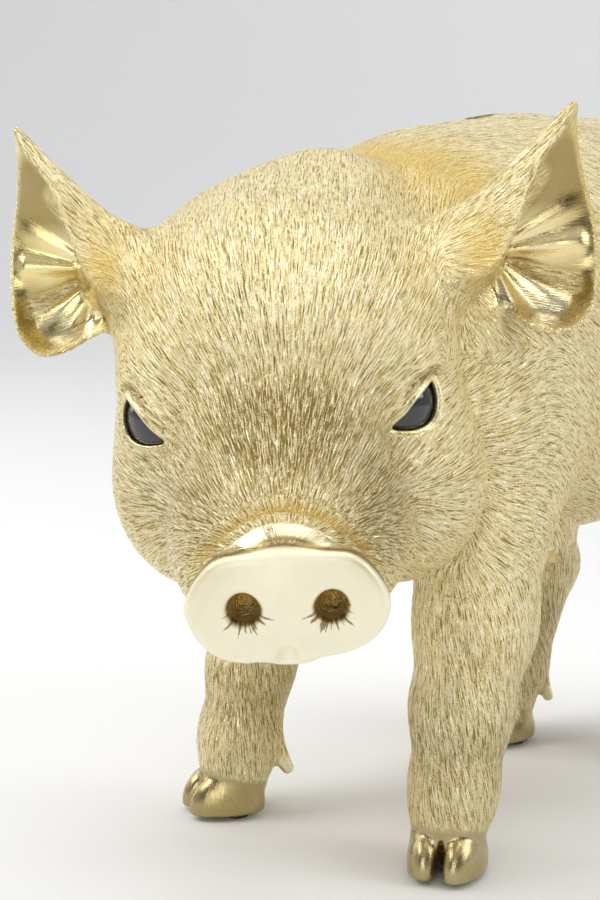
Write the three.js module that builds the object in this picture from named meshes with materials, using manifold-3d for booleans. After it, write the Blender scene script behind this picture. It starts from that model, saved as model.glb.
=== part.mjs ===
// Cast iron still bank: a standing piglet, cast as a head and two body halves that screw
// together around it. Millimetres, +Z up. The piglet walks along -Y and its own left is +X.

import * as THREE from 'three';
import { mergeVertices } from 'three/addons/utils/BufferGeometryUtils.js';
import Module from 'manifold-3d';

const wasm = await Module();
wasm.setup();

// ---------------------------------------------------------------- driving dimensions

const WALL = 4.5;              // casting wall
const GAP = 0.3;               // clearance wherever two pieces meet
const EXPONENT = 2.25;         // roundness of the body sections: 2 is an ellipse
const FAR = 400;               // size of the blocks that cut along a plane

const HEAD_YAW = 44;           // head turned towards the left shoulder, degrees
const HEAD_ROLL = 2.6;         // left side of the head higher, degrees
const SKULL = new THREE.Vector3(0, -13, 130);
const NECK_POINT = new THREE.Vector3(0, 7, 130);
const NECK_YAW = 21.5;         // joint face between head and body, halfway to the head's own yaw
const THROAT_Z = 81;           // underside of the head casting where it sits on the chest
const SPIGOT = { bore: 17, radius: 22, flange: 26, length: 10, lip: 3.5, web: 5 };

const SLOT = { y: 75, z: 190, length: 36, width: 6, depth: 30 };
const TRAP = { y: 70, hole: 16, plate: 19.5, pad: 24, padHeight: 22, face: 75, thickness: 2.5 };
const TAB = { width: 2.4, length: 14, height: 3, inset: 3, sink: 1.2 };
const PIVOT = { x: -16, y: 54, ear: 11, shank: 2, head: 5, headHeight: 2.4, depth: 10 };
const STOP = { arm: 7.5, radius: 1.3, clearance: 0.4, angle: 280, sweep: 100 };
const WASHER = { inner: 2.5, outer: 4.8, thickness: 0.6 };
const BODY_SCREW = { shank: 2.5, head: 5, headHeight: 3, boss: 7.5, reach: 20, sink: 6 };
const BODY_SCREW_PLACES = { front: { y: 40, z: 158 }, rear: { y: 150, z: 142 } };

const PAD = { radius: 3.4, thickness: 1.2, spread: 4.7, back: 1.5 };
const HOOF = { cleft: 1.8, cleftLength: 13, cleftHeight: 9 };
const EYE = { radius: 7, depth: 4.2, dome: 3.2, putty: 1.6, boss: 9.5, bossLength: 10, turn: 40 };
const STEM = { radius: 3.5, nut: 6.2, nutThickness: 4, nutInset: 0.8 };
const TAIL = { root: 4, tip: 1.8, flange: 7.5, flangeThickness: 3, y: 174, z: 163 };

// ---------------------------------------------------------------- solids and booleans

function asSolid(geometry) {
  const bare = geometry.clone();
  bare.deleteAttribute('normal');
  bare.deleteAttribute('uv');
  const merged = mergeVertices(bare, 1e-4);
  const mesh = new wasm.Mesh({
    numProp: 3,
    vertProperties: new Float32Array(merged.attributes.position.array),
    triVerts: new Uint32Array(merged.index.array),
  });
  return new wasm.Manifold(mesh);
}

function asGeometry(solid) {
  const mesh = solid.getMesh();
  const geometry = new THREE.BufferGeometry();
  geometry.setAttribute('position', new THREE.BufferAttribute(new Float32Array(mesh.vertProperties), 3));
  geometry.setIndex(new THREE.BufferAttribute(new Uint32Array(mesh.triVerts), 1));
  geometry.computeVertexNormals();
  return geometry;
}

function placed(geometry, matrix) {
  return asSolid(geometry.clone().applyMatrix4(matrix));
}

function union(solids) {
  return solids.reduce((sum, solid) => sum.add(solid));
}

// A matrix that takes +Z to the given direction and the origin to the given point.
function along(point, direction) {
  const turn = new THREE.Quaternion().setFromUnitVectors(
    new THREE.Vector3(0, 0, 1),
    direction.clone().normalize(),
  );
  return new THREE.Matrix4().compose(point, turn, new THREE.Vector3(1, 1, 1));
}

// A cylinder or cone whose axis runs from `start` to `end`.
function rod(start, end, radius, endRadius = radius, sides = 24) {
  const axis = end.clone().sub(start);
  const geometry = new THREE.CylinderGeometry(endRadius, radius, axis.length(), sides);
  geometry.rotateX(Math.PI / 2);
  return placed(geometry, along(start.clone().lerp(end, 0.5), axis));
}

function block(centre, size) {
  const geometry = new THREE.BoxGeometry(size.x, size.y, size.z);
  return placed(geometry, new THREE.Matrix4().setPosition(centre));
}

// Everything on the far side of a plane, as a block as large as the part needs.
function beyond(point, normal, shift = 0) {
  const geometry = new THREE.BoxGeometry(FAR, FAR, FAR);
  geometry.translate(0, 0, FAR / 2);
  const start = point.clone().addScaledVector(normal.clone().normalize(), shift);
  return placed(geometry, along(start, normal));
}

// A closed skin through a row of rings of equal point count, with flat ends.
function skin(rings) {
  const count = rings[0].length;
  const positions = [];
  const index = [];
  rings.forEach((ring) => ring.forEach((p) => positions.push(p.x, p.y, p.z)));
  for (let i = 0; i + 1 < rings.length; i += 1) {
    for (let j = 0; j < count; j += 1) {
      const a = i * count + j;
      const b = i * count + ((j + 1) % count);
      index.push(a, b, a + count, b, b + count, a + count);
    }
  }
  const last = (rings.length - 1) * count;
  for (let j = 1; j + 1 < count; j += 1) {
    index.push(0, j + 1, j);
    index.push(last, last + j, last + j + 1);
  }
  const geometry = new THREE.BufferGeometry();
  geometry.setAttribute('position', new THREE.Float32BufferAttribute(positions, 3));
  geometry.setIndex(index);
  const solid = asSolid(geometry);
  return solid.volume() < 0 ? asSolid(flipped(geometry)) : solid;
}

function flipped(geometry) {
  const copy = geometry.clone();
  const index = Array.from(copy.index.array);
  for (let i = 0; i < index.length; i += 3) {
    const first = index[i];
    index[i] = index[i + 1];
    index[i + 1] = first;
  }
  copy.setIndex(index);
  return copy;
}

// One superellipse ring: `u` and `v` are its half axes as vectors.
function ring(centre, u, v, count, exponent = EXPONENT) {
  const points = [];
  for (let i = 0; i < count; i += 1) {
    const angle = (i / count) * Math.PI * 2;
    const c = Math.cos(angle);
    const s = Math.sin(angle);
    const a = Math.sign(c) * Math.abs(c) ** (2 / exponent);
    const b = Math.sign(s) * Math.abs(s) ** (2 / exponent);
    points.push(centre.clone().addScaledVector(u, a).addScaledVector(v, b));
  }
  return points;
}

// A form of upright sections along Y: [y, centre z, half width, half height].
function longForm(sections, inset = 0, count = 24) {
  return skin(sections.map(([y, z, width, height]) => ring(
    new THREE.Vector3(0, y, z),
    new THREE.Vector3(Math.max(width - inset, 1), 0, 0),
    new THREE.Vector3(0, 0, Math.max(height - inset, 1)),
    count,
  )));
}

// ---------------------------------------------------------------- trunk and legs

const TRUNK = [
  [-16, 116, 22, 24],
  [-6, 120, 35, 38],
  [12, 128, 45, 49],
  [40, 134, 50, 56],
  [75, 137, 52, 59.5],
  [110, 138, 51.5, 59],
  [138, 140, 47, 55],
  [158, 143, 38, 45],
  [171, 145, 25, 30],
  [177, 146, 11, 13],
];

const TRUNK_CAVITY = [
  [14, 129, 40, 44],
  [40, 134, 45, 51],
  [75, 137, 47, 54.5],
  [110, 138, 46.5, 54],
  [138, 140, 42, 50],
  [156, 143, 33, 40],
  [167, 145, 20, 25],
];

// Legs as level rings: [height, sideways shift, fore-and-aft shift, half width, half depth].
const SOLE = PAD.thickness + GAP;
const FORE_LEG = [
  [SOLE, 0, -3, 9.6, 12],
  [8, 0, -3, 9.6, 11.5],
  [15, 0, -1, 9.4, 10.2],
  [22, 0, 1, 10.4, 10.8],
  [36, 0, 3, 11.4, 11.8],
  [50, 0, 6, 13, 13.4],
  [66, -0.5, 9, 15, 16.5],
  [84, -2, 12, 16.5, 20],
  [102, -5, 15, 15, 19],
  [120, -10, 17, 8, 11],
];
const HIND_LEG = [
  [SOLE, 0, -3, 9.4, 11.5],
  [8, 0, -3, 9.4, 11],
  [15, 0, -1, 9.2, 10],
  [22, 0, 2, 9.8, 10.4],
  [36, 0.5, 10, 10, 10.8],
  [50, 1, 17, 10.8, 12.4],
  [64, 1.5, 12, 13, 18],
  [84, 0, 6, 16.5, 25],
  [104, -5, 6, 15, 23],
  [124, -12, 6, 8, 13],
];

const FEET = [
  { name: 'front_left', x: 32, y: 15, form: FORE_LEG, toe: 26 },
  { name: 'front_right', x: -39.5, y: 6, form: FORE_LEG, toe: -26 },
  { name: 'rear_left', x: 28, y: 137, form: HIND_LEG, toe: 4 },
  { name: 'rear_right', x: -27, y: 113, form: HIND_LEG, toe: -4 },
];

function footMatrix(foot) {
  const turn = new THREE.Matrix4().makeRotationZ(THREE.MathUtils.degToRad(foot.toe));
  return turn.setPosition(foot.x, foot.y, 0);
}

function leg(foot) {
  const inward = Math.sign(foot.x);
  const form = skin(foot.form.map(([z, side, aft, width, depth]) => ring(
    new THREE.Vector3(foot.x + side * inward, foot.y + aft, z),
    new THREE.Vector3(width, 0, 0),
    new THREE.Vector3(0, depth, 0),
    16,
  )));
  const cleft = new THREE.BoxGeometry(HOOF.cleft, HOOF.cleftLength, HOOF.cleftHeight);
  cleft.translate(0, -HOOF.cleftLength, HOOF.cleftHeight / 2);
  return form.subtract(placed(cleft, footMatrix(foot)));
}

// ---------------------------------------------------------------- head

const HEAD = [
  [-83, 88.5, 20, 12],
  [-80, 88.5, 21.5, 13.5],
  [-73, 91, 19, 14],
  [-60, 95, 25, 20],
  [-45, 104, 33, 30],
  [-30, 116, 39, 40],
  [-15, 127, 43, 47.5],
  [2, 133, 44.5, 50],
  [22, 135, 43, 49],
  [40, 136, 37, 44],
];

const HEAD_CAVITY = [
  [-56, 97, 18, 14],
  [-45, 104, 27, 24],
  [-30, 116, 33.5, 34.5],
  [-15, 127, 38, 42],
  [2, 133, 39.5, 44.5],
  [22, 135, 38, 43.5],
];

const headMatrix = new THREE.Matrix4()
  .makeTranslation(SKULL)
  .multiply(new THREE.Matrix4().makeRotationZ(THREE.MathUtils.degToRad(HEAD_YAW)))
  .multiply(new THREE.Matrix4().makeRotationY(THREE.MathUtils.degToRad(-HEAD_ROLL)))
  .multiply(new THREE.Matrix4().makeTranslation(0, 0, -SKULL.z));

function inHead(solid) {
  return solid.transform(headMatrix.elements);
}

function headPoint(x, y, z) {
  return new THREE.Vector3(x, y, z).applyMatrix4(headMatrix);
}

const neckNormal = new THREE.Vector3(
  Math.sin(THREE.MathUtils.degToRad(NECK_YAW)),
  -Math.cos(THREE.MathUtils.degToRad(NECK_YAW)),
  0,
);
const UP = new THREE.Vector3(0, 0, 1);
const throatPoint = new THREE.Vector3(0, 0, THROAT_Z);

// The room that the head casting owns: in front of the neck face and above the throat face.
function headRoom(shift) {
  return beyond(NECK_POINT, neckNormal, shift).intersect(beyond(throatPoint, UP, shift));
}

function neckRod(from, to, radius) {
  return rod(
    NECK_POINT.clone().addScaledVector(neckNormal, from),
    NECK_POINT.clone().addScaledVector(neckNormal, to),
    radius,
    radius,
    32,
  );
}

// Each ear is stacked level crescents, in head axes: [height, inner x, outer x, sag, half thickness].
const EAR = [
  [135, 57, 62, 0.5, 1.2],
  [142, 46, 67, 4, 2],
  [150, 40, 69.5, 7, 2.4],
  [160, 37, 70.5, 8, 2.6],
  [170, 40, 70, 7, 2.4],
  [179, 49, 69.5, 4.5, 2.1],
  [186, 58, 68.5, 2, 1.7],
  [191.5, 65, 67, 0.2, 1],
];
const EAR_FRONT_Y = -19;
const EAR_SHIFT = 2.8;         // both ears stand a little towards the left
const EAR_SPREAD = 0.079;      // the left ear reaches wider by this share, the right ear less
const EAR_ROOT_X = 35.6;
const EAR_CUP = { radius: 9, x: 58, z: 158, ahead: 5 };

function earBlade(side) {
  const steps = 7;
  const rings = EAR.map(([z, inner, outer, sag, half]) => {
    const front = [];
    const back = [];
    for (let i = 0; i <= steps; i += 1) {
      const t = i / steps;
      const bow = 1 - (2 * t - 1) ** 2;
      const reach = THREE.MathUtils.lerp(inner, outer, t) - EAR_ROOT_X;
      const x = side * (EAR_ROOT_X + reach * (1 + side * EAR_SPREAD)) + EAR_SHIFT;
      const y = EAR_FRONT_Y + sag * bow * 1.4;
      const thickness = half * (0.35 + 0.65 * bow);
      front.push(new THREE.Vector3(x, y - thickness, z));
      back.push(new THREE.Vector3(x, y + thickness, z));
    }
    return front.concat(back.reverse());
  });
  return skin(rings);
}

const EAR_ROOT = { inner: [28, -10, 150], outer: [47, -15, 156], radius: 12, tip: 8 };
const EAR_STEM = { outer: [38, -12, 154], inner: [22, -7, 148] };

function sided([x, y, z], side) {
  return new THREE.Vector3(side * x, y, z);
}

function earStem(side, radius, grow = 0) {
  const outer = sided(EAR_STEM.outer, side);
  const inner = sided(EAR_STEM.inner, side);
  const axis = inner.clone().sub(outer).normalize();
  return rod(outer, inner.addScaledVector(axis, grow), radius, radius, 20);
}

function earNut(side) {
  const outer = sided(EAR_STEM.outer, side);
  const inner = sided(EAR_STEM.inner, side);
  const axis = inner.clone().sub(outer).normalize();
  const start = inner.clone().addScaledVector(axis, -STEM.nutThickness - STEM.nutInset);
  const end = start.clone().addScaledVector(axis, STEM.nutThickness);
  const hex = rod(start, end, STEM.nut, STEM.nut, 6);
  return inHead(hex.subtract(earStem(side, STEM.radius + GAP, 5)));
}

// ---------------------------------------------------------------- eyes

const EYE_PLACES = { left: [29.2, -34.9, 123.4], right: [-31.5, -35.2, 122.4] };

function eyeAxis(side) {
  const turn = THREE.MathUtils.degToRad(EYE.turn);
  return new THREE.Vector3(side * Math.sin(turn), -Math.cos(turn), 0);
}

function eyeRod(place, side, from, to, radius) {
  const axis = eyeAxis(side);
  const centre = new THREE.Vector3(...place);
  return rod(
    centre.clone().addScaledVector(axis, from),
    centre.clone().addScaledVector(axis, to),
    radius,
    radius,
    28,
  );
}

// A glass eye: a flat back and a domed front.
function eyeGlass(place, side) {
  const profile = [new THREE.Vector2(0, -EYE.depth)];
  profile.push(new THREE.Vector2(EYE.radius - GAP, -EYE.depth));
  const steps = 8;
  for (let i = 0; i <= steps; i += 1) {
    const angle = (i / steps) * (Math.PI / 2);
    profile.push(new THREE.Vector2(
      (EYE.radius - GAP) * Math.cos(angle),
      -0.5 + EYE.dome * Math.sin(angle),
    ));
  }
  profile[profile.length - 1].x = 0;
  const geometry = new THREE.LatheGeometry(profile, 24);
  geometry.rotateX(Math.PI / 2);
  return inHead(placed(geometry, along(new THREE.Vector3(...place), eyeAxis(side))));
}

// ---------------------------------------------------------------- fasteners

// A slotted pan-head screw: its head starts at `seat` and its shank runs along `axis`.
function screw(seat, axis, shank, head, headHeight, length) {
  const unit = axis.clone().normalize();
  const top = seat.clone().addScaledVector(unit, -headHeight);
  const root = seat.clone().addScaledVector(unit, -0.2);
  const tip = seat.clone().addScaledVector(unit, length);
  const shape = rod(seat, top, head, head * 0.82, 24).add(rod(root, tip, shank, shank, 16));
  const slot = new THREE.BoxGeometry(head * 2.4, head * 0.26, headHeight);
  return shape.subtract(placed(slot, along(top, unit)));
}

const bodyScrewAxis = new THREE.Vector3(1, 0, 0);

function bodyScrewSeat({ y, z }) {
  const trunkWidth = widthAt(y, z);
  return new THREE.Vector3(-(trunkWidth - BODY_SCREW.sink), y, z);
}

// Half width of the trunk at a given length and height.
function widthAt(y, z) {
  const after = TRUNK.findIndex((section) => section[0] >= y);
  const a = TRUNK[after - 1];
  const b = TRUNK[after];
  const t = (y - a[0]) / (b[0] - a[0]);
  const [, centre, width, height] = a.map((value, i) => THREE.MathUtils.lerp(value, b[i], t));
  return width * (1 - Math.abs((z - centre) / height) ** EXPONENT) ** (1 / EXPONENT);
}

function bodyScrewBoss({ y, z }) {
  return rod(new THREE.Vector3(-FAR / 4, y, z), new THREE.Vector3(FAR / 4, y, z), BODY_SCREW.boss);
}

function bodyScrewRoom({ y, z }) {
  const seat = bodyScrewSeat({ y, z });
  const end = new THREE.Vector3(BODY_SCREW.reach + 2, y, z);
  const outside = new THREE.Vector3(-FAR / 4, y, z);
  return rod(seat, end, BODY_SCREW.shank + GAP, BODY_SCREW.shank + GAP, 16)
    .add(rod(seat.clone().add(new THREE.Vector3(GAP, 0, 0)), outside, BODY_SCREW.head + GAP));
}

// ---------------------------------------------------------------- coin trap

const trapFace = new THREE.Vector3(0, TRAP.y, TRAP.face);
const pivot = new THREE.Vector3(PIVOT.x, PIVOT.y, TRAP.face);

function upright(centre, radius, low, high, sides = 32) {
  return rod(
    new THREE.Vector3(centre.x, centre.y, low),
    new THREE.Vector3(centre.x, centre.y, high),
    radius,
    radius,
    sides,
  );
}

const plateTop = TRAP.face - GAP;
const plateBottom = plateTop - TRAP.thickness;

// The arc slot that a fixed pin runs in, so that the cover stops closed and stops open.
function stopSlot() {
  const half = STOP.radius + STOP.clearance;
  const from = THREE.MathUtils.degToRad(STOP.angle - STOP.sweep);
  const to = THREE.MathUtils.degToRad(STOP.angle);
  const shape = new THREE.Shape();
  shape.absarc(0, 0, STOP.arm + half, from, to, false);
  shape.absarc(0, 0, STOP.arm - half, to, from, true);
  const geometry = new THREE.ExtrudeGeometry(shape, { depth: 10, bevelEnabled: false, curveSegments: 12 });
  geometry.translate(pivot.x, pivot.y, plateBottom - 5);
  const ends = [from, to].map((angle) => upright(
    new THREE.Vector3(pivot.x + STOP.arm * Math.cos(angle), pivot.y + STOP.arm * Math.sin(angle), 0),
    half,
    plateBottom - 5,
    plateTop + 5,
    16,
  ));
  return union([asSolid(geometry), ...ends]);
}

function trapPlate() {
  const centre = trapFace;
  const middle = centre.clone().lerp(pivot, 0.5);
  const web = new THREE.BoxGeometry(centre.distanceTo(pivot), PIVOT.ear * 2, TRAP.thickness);
  const turn = Math.atan2(centre.y - pivot.y, centre.x - pivot.x);
  const webMatrix = new THREE.Matrix4().makeRotationZ(turn)
    .setPosition(middle.x, middle.y, (plateTop + plateBottom) / 2);
  const tabMatrix = new THREE.Matrix4().makeRotationZ(turn).setPosition(
    centre.x + (TRAP.plate - TAB.inset) * Math.cos(turn),
    centre.y + (TRAP.plate - TAB.inset) * Math.sin(turn),
    plateBottom - TAB.sink,
  );
  return upright(centre, TRAP.plate, plateBottom, plateTop, 48)
    .add(upright(pivot, PIVOT.ear, plateBottom, plateTop))
    .add(placed(web, webMatrix))
    .add(placed(new THREE.BoxGeometry(TAB.width, TAB.length, TAB.height), tabMatrix))
    .subtract(upright(pivot, PIVOT.shank + GAP, plateBottom - 1, plateTop + 1, 20))
    .subtract(stopSlot());
}

const stopAngle = THREE.MathUtils.degToRad(STOP.angle);
const stopPin = new THREE.Vector3(
  pivot.x + STOP.arm * Math.cos(stopAngle),
  pivot.y + STOP.arm * Math.sin(stopAngle),
  0,
);
const washerTop = plateBottom - GAP;
const screwSeat = washerTop - WASHER.thickness - GAP;

function springWasher() {
  return upright(pivot, WASHER.outer, washerTop - WASHER.thickness, washerTop)
    .subtract(upright(pivot, WASHER.inner, washerTop - 2, washerTop + 1, 20));
}

// ---------------------------------------------------------------- tail

// The tail leaves the rump level, then curls up and over to the left.
function tailCurve() {
  const bends = [
    [0, 0, 0],
    [0, 7, 0],
    [1, 14, 3],
    [5, 18, 10],
    [11, 17, 17],
    [16, 12, 15],
    [17, 9, 8],
  ];
  return new THREE.CatmullRomCurve3(bends.map(([x, y, z]) => new THREE.Vector3(x, TAIL.y + y, TAIL.z + z)));
}

function tailForm() {
  const curve = tailCurve();
  const steps = 18;
  const frames = curve.computeFrenetFrames(steps, false);
  const rings = [];
  for (let i = 0; i <= steps; i += 1) {
    const radius = THREE.MathUtils.lerp(TAIL.root, TAIL.tip, i / steps);
    rings.push(ring(
      curve.getPoint(i / steps),
      frames.normals[i].clone().multiplyScalar(radius),
      frames.binormals[i].clone().multiplyScalar(radius),
      10,
      2,
    ));
  }
  return skin(rings);
}

const tailSeat = new THREE.Vector3(0, TAIL.y, TAIL.z);

function tailRod(from, to, radius) {
  return rod(
    tailSeat.clone().add(new THREE.Vector3(0, from, 0)),
    tailSeat.clone().add(new THREE.Vector3(0, to, 0)),
    radius,
    radius,
    20,
  );
}

// ---------------------------------------------------------------- castings

const headForm = inHead(longForm(HEAD));
const trunkForm = longForm(TRUNK);
const legForms = union(FEET.map(leg));

const sides = { left: 1, right: -1 };

function headCasting() {
  let shell = headForm.subtract(
    inHead(longForm(HEAD_CAVITY)).intersect(headRoom(SPIGOT.web)),
  );
  for (const [name, side] of Object.entries(sides)) {
    const boss = inHead(eyeRod(EYE_PLACES[name], side, -EYE.bossLength, 0, EYE.boss));
    shell = shell.add(boss.intersect(headForm));
  }
  shell = shell.intersect(headRoom(GAP / 2));
  shell = shell
    .add(neckRod(1, -SPIGOT.length, SPIGOT.radius))
    .add(neckRod(-SPIGOT.length + SPIGOT.lip, -SPIGOT.length, SPIGOT.flange))
    .subtract(neckRod(SPIGOT.web + 4, -SPIGOT.length - 1, SPIGOT.bore));
  for (const [name, side] of Object.entries(sides)) {
    const socket = eyeRod(EYE_PLACES[name], side, -EYE.depth - EYE.putty - 2 * GAP, 20, EYE.radius);
    shell = shell.subtract(inHead(socket));
    shell = shell.subtract(inHead(earStem(side, STEM.radius + GAP, 3)));
  }
  return shell;
}

const widerHead = HEAD.map(([y, z, width, height]) => [y, z, width + GAP, height + GAP]);
const widerHeadForm = inHead(longForm(widerHead));

function ear(side) {
  const root = rod(sided(EAR_ROOT.inner, side), sided(EAR_ROOT.outer, side), EAR_ROOT.radius, EAR_ROOT.tip);
  const cup = new THREE.SphereGeometry(EAR_CUP.radius, 16, 12);
  cup.scale(1, 0.9, 1.9);
  const cupX = side * (EAR_ROOT_X + (EAR_CUP.x - EAR_ROOT_X) * (1 + side * EAR_SPREAD)) + EAR_SHIFT;
  const cupPlace = new THREE.Matrix4().setPosition(cupX, EAR_FRONT_Y - EAR_CUP.ahead, EAR_CUP.z);
  const cupSolid = placed(cup, cupPlace);
  const blade = inHead(earBlade(side).add(root).subtract(cupSolid)).subtract(widerHeadForm);
  return blade.add(inHead(earStem(side, STEM.radius)));
}

function bodyShell() {
  const cavity = longForm(TRUNK_CAVITY).subtract(beyond(NECK_POINT, neckNormal, -SPIGOT.web));
  const padTop = TRAP.face + TRAP.padHeight;
  let shell = trunkForm
    .add(legForms)
    .add(upright(trapFace, TRAP.pad, TRAP.face, padTop, 48))
    .add(upright(pivot, PIVOT.ear, TRAP.face, padTop))
    .subtract(cavity);
  for (const place of Object.values(BODY_SCREW_PLACES)) {
    shell = shell.add(bodyScrewBoss(place).intersect(trunkForm));
  }
  const pivotBoss = upright(pivot, PIVOT.shank + 4, TRAP.face, TRAP.face + PIVOT.depth + 4);
  shell = shell
    .add(pivotBoss)
    .subtract(upright(trapFace, TRAP.hole, TRAP.face - 1, padTop + 10, 48))
    .subtract(upright(pivot, PIVOT.shank + GAP, TRAP.face - 1, TRAP.face + PIVOT.depth, 16))
    .subtract(upright(stopPin, STOP.radius + GAP, TRAP.face - 1, TRAP.face + 5, 12));
  for (const place of Object.values(BODY_SCREW_PLACES)) {
    shell = shell.subtract(bodyScrewRoom(place));
  }
  const slotCentre = new THREE.Vector3(0, SLOT.y, SLOT.z);
  shell = shell
    .subtract(block(slotCentre, new THREE.Vector3(SLOT.width, SLOT.length, SLOT.depth)))
    .subtract(headRoom(-GAP / 2))
    .subtract(neckRod(5, -SPIGOT.length - GAP, SPIGOT.radius + GAP))
    .subtract(neckRod(-SPIGOT.length + SPIGOT.lip + GAP, -SPIGOT.length - 8, SPIGOT.flange + GAP))
    .subtract(tailRod(-20, 20, TAIL.root + GAP))
    .subtract(tailRod(-20, -3, TAIL.flange + GAP));
  return shell;
}

const body = bodyShell();

function bodyHalf(side) {
  return body.intersect(beyond(new THREE.Vector3(), new THREE.Vector3(side, 0, 0), GAP / 2));
}

function tail() {
  return tailForm()
    .add(tailRod(-5, 6, TAIL.root))
    .add(tailRod(-3 - GAP - TAIL.flangeThickness, -3 - GAP, TAIL.flange));
}

// ---------------------------------------------------------------- finishes

const FINISHES = {
  gold: { color: 0xc9a45c, roughness: 0.38, metalness: 0.9 },
  glass: { color: 0x14151a, roughness: 0.05, metalness: 0 },
  putty: { color: 0x6b6258, roughness: 0.9, metalness: 0 },
  steel: { color: 0x9a9a98, roughness: 0.35, metalness: 1 },
  brass: { color: 0xb8924a, roughness: 0.35, metalness: 1 },
  rubber: { color: 0x26262a, roughness: 0.85, metalness: 0 },
};

const bank = new THREE.Group();

function piece(name, solid, finish) {
  const mesh = new THREE.Mesh(asGeometry(solid), new THREE.MeshStandardMaterial(FINISHES[finish]));
  mesh.name = name;
  bank.add(mesh);
}

piece('head_shell', headCasting(), 'gold');
piece('body_left_shell', bodyHalf(1), 'gold');
piece('body_right_shell', bodyHalf(-1), 'gold');
piece('tail', tail(), 'gold');

for (const [name, side] of Object.entries(sides)) {
  const place = EYE_PLACES[name];
  const puttyBack = -EYE.depth - EYE.putty - GAP;
  piece(`${name}_ear`, ear(side), 'gold');
  piece(`${name}_ear_nut`, earNut(side), 'steel');
  piece(`${name}_eye_glass`, eyeGlass(place, side), 'glass');
  piece(
    `${name}_eye_putty`,
    inHead(eyeRod(place, side, puttyBack, puttyBack + EYE.putty, EYE.radius - GAP)),
    'putty',
  );
}

for (const [name, place] of Object.entries(BODY_SCREW_PLACES)) {
  const seat = bodyScrewSeat(place);
  const length = BODY_SCREW.reach - seat.x;
  piece(
    `${name}_body_screw`,
    screw(seat, bodyScrewAxis, BODY_SCREW.shank, BODY_SCREW.head, BODY_SCREW.headHeight, length),
    'steel',
  );
}

piece('trap_plate', trapPlate(), 'gold');
piece('trap_spring_washer', springWasher(), 'steel');
piece(
  'trap_pivot_screw',
  screw(
    new THREE.Vector3(pivot.x, pivot.y, screwSeat),
    UP,
    PIVOT.shank,
    PIVOT.head,
    PIVOT.headHeight,
    TRAP.face - screwSeat + PIVOT.depth - 2,
  ),
  'brass',
);
piece('trap_stop_pin', upright(stopPin, STOP.radius, plateBottom - 0.6, TRAP.face + 4, 12), 'steel');

for (const foot of FEET) {
  for (const [name, side] of [['outer', Math.sign(foot.x)], ['inner', -Math.sign(foot.x)]]) {
    const place = new THREE.Vector3(side * PAD.spread, -PAD.back, 0).applyMatrix4(footMatrix(foot));
    piece(`${foot.name}_${name}_hoof_pad`, upright(place, PAD.radius, 0, PAD.thickness, 16), 'rubber');
  }
}

// The origin goes under the middle of the part's box, on the surface that it stands on.
const box = new THREE.Box3().setFromObject(bank);
const centre = box.getCenter(new THREE.Vector3());
bank.position.set(-centre.x, -centre.y, -box.min.z);

export default bank;
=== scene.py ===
"""A gold cast iron piglet bank: sculpted castings, glass eyes, coin trap, and a studio to stand in."""

import logging
import math
from dataclasses import dataclass, field
from enum import Enum
from typing import Callable, Iterable, Sequence

import bmesh
import bpy
import numpy as np
from mathutils import Matrix, Vector


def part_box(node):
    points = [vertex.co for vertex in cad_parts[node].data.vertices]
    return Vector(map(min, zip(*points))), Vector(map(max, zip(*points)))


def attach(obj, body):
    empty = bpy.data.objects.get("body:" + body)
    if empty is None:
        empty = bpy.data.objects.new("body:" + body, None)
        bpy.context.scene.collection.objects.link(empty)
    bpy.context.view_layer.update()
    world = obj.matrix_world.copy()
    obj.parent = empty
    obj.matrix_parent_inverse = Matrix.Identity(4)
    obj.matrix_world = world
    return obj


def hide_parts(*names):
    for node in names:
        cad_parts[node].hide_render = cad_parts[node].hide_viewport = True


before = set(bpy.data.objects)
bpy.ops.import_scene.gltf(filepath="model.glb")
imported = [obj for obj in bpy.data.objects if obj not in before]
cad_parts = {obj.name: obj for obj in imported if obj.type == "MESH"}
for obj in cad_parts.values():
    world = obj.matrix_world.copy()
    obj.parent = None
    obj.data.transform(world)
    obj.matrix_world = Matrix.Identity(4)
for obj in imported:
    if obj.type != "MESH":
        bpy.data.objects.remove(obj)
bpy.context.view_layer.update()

LOG = logging.getLogger("piglet_bank")
MM = 0.001

Array = np.ndarray


class Side(Enum):
    """The piglet's own left and right, as the sign of X."""

    LEFT = 1
    RIGHT = -1

    @property
    def word(self) -> str:
        """The side's name as the frame spells it."""
        return self.name.lower()


# ------------------------------------------------------------------ frames of reference


@dataclass(frozen=True)
class Placement:
    """Turns the sculptor's millimetres into the frame's metres, and back.

    Attributes:
        pivot: Where the trap's pivot screw stands in the sculptor's own axes.
    """

    pivot: tuple[float, float] = (-16.0, 54.0)

    def offset(self) -> Array:
        """Finds the shift from the sculptor's axes to the frame, in millimetres.

        Returns:
            The shift as an array of three numbers.
        """
        low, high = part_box("trap_pivot_screw")
        x = (low[0] + high[0]) / 2 / MM
        y = (low[1] + high[1]) / 2 / MM
        return np.array([x - self.pivot[0], y - self.pivot[1], 0.0])

    def world(self, points: Array) -> Array:
        """Takes sculptor's millimetres to the frame's metres."""
        return (np.asarray(points, dtype=float) + self.offset()) * MM


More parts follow.
